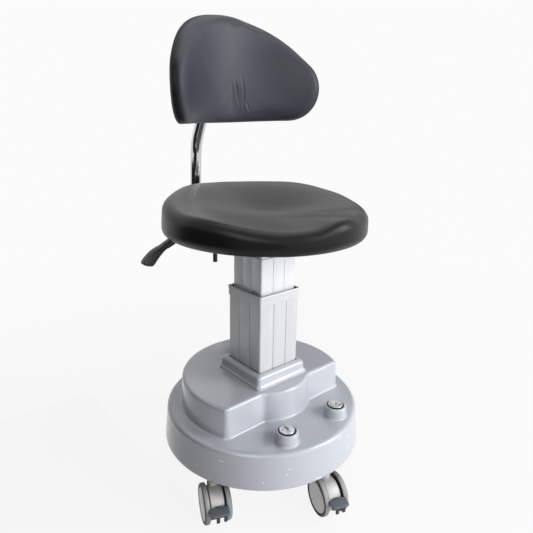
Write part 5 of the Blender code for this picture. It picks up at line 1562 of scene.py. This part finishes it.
# Pieces that keep their packed shapes
class STOOL_OT_works(bpy.types.Operator):
    """Finish the plates, brackets and works that keep their packed shapes"""

    bl_idname = "stool.works"
    bl_label = "Plates and works"

    def execute(self, context):
        rolled = ((300.0, 20.0, 300.0), (0.45, 0.6), 0.6, 0.12)
        plate = brushed_finish("plate_steel", (0.13, 0.13, 0.14), *rolled)
        ground = ((400.0, 400.0, 60.0), (0.2, 0.34), 1.0, 0.08)
        steel = brushed_finish("bright_steel", (0.52, 0.52, 0.53), *ground)
        cased = ((200.0, 30.0, 200.0), (0.35, 0.5), 0.9, 0.1)
        motor = brushed_finish("motor_steel", (0.22, 0.22, 0.23), *cased)
        cut = ((500.0, 500.0, 500.0), (0.25, 0.4), 1.0, 0.08)
        brass = brushed_finish("nut_brass", (0.60, 0.45, 0.20), *cut)
        black = moulded_finish("black_enamel", BLACK_ENAMEL, (0.35, 0.5), 500.0, 0.1)
        nylon = moulded_finish("glide_nylon", (0.74, 0.74, 0.71))
        box = moulded_finish("box_plastic", (0.04, 0.04, 0.045))
        battery = moulded_finish("battery_case", (0.10, 0.11, 0.13))
        finishes = (
            (plate, ("base_plate", "column_foot")),
            (black, ("tilt_bracket", "bar_knuckle", "lever_rod", "back_clamp_screw")),
            (plywood_finish(), ("seat_board",)),
            (steel, ("tilt_pin", "lead_screw", "swivel_bearing")),
            (motor, ("lift_motor", "gearbox")),
            (brass, ("lead_nut",)),
            (nylon, ("upper_glide", "lower_glide")),
            (box, ("control_box", "charge_inlet", "up_switch", "down_switch")),
            (battery, ("battery_pack",)),
        )
        for material, names in finishes:
            for name in names:
                give(frame["nodes"][name], material)
        return {"FINISHED"}


# Stage
class STOOL_OT_stage(bpy.types.Operator):
    """Set the camera, the lamps, the pale floor and the sky"""

    bl_idname = "stool.stage"
    bl_label = "Stage"

    def execute(self, context):
        settings = context.scene.stool_stage
        context.scene.view_settings.view_transform = "Standard"
        self.camera(context, settings)
        self.floor(settings)
        self.sky(context, settings)
        self.lamp("key_lamp", (1.25, -1.80, 1.75), (0, 0, 0.4), 1.2, settings.key)
        self.lamp("top_lamp", (0.2, 0.3, 2.6), (0, 0, 0.5), 1.6, settings.top)
        fill = self.lamp("fill_lamp", (-0.10, -2.45, 0.90), (0, 0, 0.4), 1.8, settings.fill)
        fill.visible_glossy = False
        self.lamp("side_lamp", (1.45, -1.65, 0.90), (0, 0, 0.6), 0.9, settings.side)
        sheen = self.lamp("sheen_lamp", (-1.65, -1.15, 1.60), (0.1, 0, 0.8), 1.4, settings.sheen)
        sheen.visible_diffuse = False
        left = self.flag("left_flag", (-0.90, 0.35, 1.0), math.radians(90), (1.6, 2.0))
        left.visible_glossy = False
        low = self.flag("low_flag", (-0.90, 0.35, 0.28), math.radians(90), (1.6, 0.56))
        low.visible_diffuse = False
        ground = self.flag("ground_flag", (-0.37, 0.12, 0.0005), 0.0, (0.34, 0.8), 0.0)
        ground.visible_glossy = False
        ground.visible_shadow = False
        right = self.flag("right_flag", (0.95, 0.75, 0.76), math.radians(128), (0.9, 0.32))
        right.visible_diffuse = False
        self.flag("camera_flag", (-1.11, -1.29, 0.33), math.radians(139), (1.3, 0.66))
        return {"FINISHED"}

    def camera(self, context, settings):
        camera = added("photo_camera", bpy.ops.object.camera_add)
        back = Vector((math.sin(settings.azimuth), -math.cos(settings.azimuth), 0))
        right = Vector((math.cos(settings.azimuth), math.sin(settings.azimuth), 0))
        forward = -back * math.cos(settings.pitch) - Vector((0, 0, 1)) * math.sin(settings.pitch)
        up = right.cross(forward)
        cosine, sine = math.cos(settings.roll), math.sin(settings.roll)
        turned_right = right * cosine + up * sine
        turned_up = up * cosine - right * sine
        pose = Matrix((turned_right, turned_up, -forward)).transposed().to_4x4()
        pose.translation = back * settings.distance + Vector((0, 0, settings.height))
        camera.matrix_world = pose
        camera.data.sensor_width = 36.0
        camera.data.lens = settings.focal
        camera.data.shift_x = settings.shift
        camera.data.clip_start = 0.01
        camera.data.clip_end = 100.0
        context.scene.camera = camera

    def floor(self, settings):
        """A floor that lights up white for the camera and for gloss, less so under the stool."""
        floor = added("pale_floor", bpy.ops.mesh.primitive_plane_add, size=40.0, location=(0, 0, -0.0003))
        material = bpy.data.materials.new("pale_floor")
        material.use_nodes = True
        tree = material.node_tree
        tree.nodes.clear()
        rays = add_node(tree, "LightPath").outputs
        seen = maths(tree, "MAXIMUM", rays["Is Camera Ray"], rays["Is Glossy Ray"])
        far = add_node(tree, "VectorMath", {0: here(tree)}, operation="LENGTH").outputs["Value"]
        fade = map_range(tree, far, from_min=0.5, from_max=2.0, to_min=0.92, to_max=1.0)
        matte = add_node(tree, "BsdfDiffuse", {"Color": (*settings.floor, 1.0)}).outputs[0]
        white = (settings.white, settings.white, settings.white, 1.0)
        glow = add_node(tree, "Emission", {"Color": white, "Strength": 1.0}).outputs[0]
        mix = add_node(tree, "MixShader", {0: maths(tree, "MULTIPLY", seen, fade), 1: matte, 2: glow})
        add_node(tree, "OutputMaterial", {"Surface": mix.outputs[0]})
        floor.data.materials.append(material)

    def flag(self, name, place, turn, size, lean=math.pi / 2):
        """A dark board outside the picture, upright unless it leans, that keeps light off one side."""
        add_plane = bpy.ops.mesh.primitive_plane_add
        flag = added(name, add_plane, size=1.0, location=place, rotation=(lean, 0, turn))
        flag.scale = (*size, 1.0)
        bpy.ops.object.transform_apply(location=False, rotation=False, scale=True)
        material = finish(name, (0.03, 0.03, 0.03), 1.0, specular=0.0)[0]
        flag.data.materials.append(material)
        flag.visible_camera = False
        return flag

    def sky(self, context, settings):
        world = bpy.data.worlds.new("pale_sky")
        context.scene.world = world
        world.use_nodes = True
        tree = world.node_tree
        light = tree.nodes["Background"]
        feed(tree, light, {"Color": (1, 1, 1, 1), "Strength": settings.sky})
        shown = add_node(tree, "Background", {"Color": (1, 1, 1, 1), "Strength": settings.white})
        rays = add_node(tree, "LightPath").outputs
        seen = maths(tree, "MAXIMUM", rays["Is Camera Ray"], rays["Is Glossy Ray"])
        seen = maths(tree, "MAXIMUM", seen, rays["Is Transmission Ray"])
        mix = add_node(tree, "MixShader", {0: seen, 1: light.outputs[0], 2: shown.outputs[0]})
        feed(tree, tree.nodes["World Output"], {"Surface": mix.outputs[0]})

    def lamp(self, name, place, target, size, power):
        lamp = added(name, bpy.ops.object.light_add, type="AREA", location=place)
        lamp.data.shape = "DISK"
        lamp.data.size = size
        lamp.data.energy = power
        lamp.rotation_euler = (Vector(target) - Vector(place)).to_track_quat("-Z", "Y").to_euler()
        return lamp


OPERATORS = (
    STOOL_OT_base,
    STOOL_OT_buttons,
    STOOL_OT_column,
    STOOL_OT_seat,
    STOOL_OT_back,
    STOOL_OT_bar,
    STOOL_OT_lever,
    STOOL_OT_casters,
    STOOL_OT_works,
    STOOL_OT_stage,
)


class STOOL_PT_sidebar(bpy.types.Panel):
    """The stool's pieces and their settings"""

    bl_idname = "STOOL_PT_sidebar"
    bl_label = "Surgeon stool"
    bl_space_type = "VIEW_3D"
    bl_region_type = "UI"
    bl_category = "Stool"

    def draw(self, context):
        for operator in OPERATORS:
            self.layout.operator(operator.bl_idname)
        for key, settings in SETTINGS.items():
            box = self.layout.box()
            box.label(text=settings.__doc__)
            for name in settings.__annotations__:
                box.prop(getattr(context.scene, key), name)


CLASSES = (*SETTINGS.values(), *OPERATORS, STOOL_PT_sidebar)


def register():
    for item in CLASSES:
        bpy.utils.register_class(item)
    for key, settings in SETTINGS.items():
        setattr(bpy.types.Scene, key, PointerProperty(type=settings))


def unregister():
    for key in SETTINGS:
        delattr(bpy.types.Scene, key)
    for item in reversed(CLASSES):
        bpy.utils.unregister_class(item)


def main():
    register()
    bpy.ops.stool.base()
    bpy.ops.stool.buttons()
    bpy.ops.stool.column()
    bpy.ops.stool.seat()
    bpy.ops.stool.back()
    bpy.ops.stool.bar()
    bpy.ops.stool.lever()
    bpy.ops.stool.casters()
    bpy.ops.stool.works()
    bpy.ops.stool.stage()
    start_fresh()


if __name__ == "__main__":
    main()
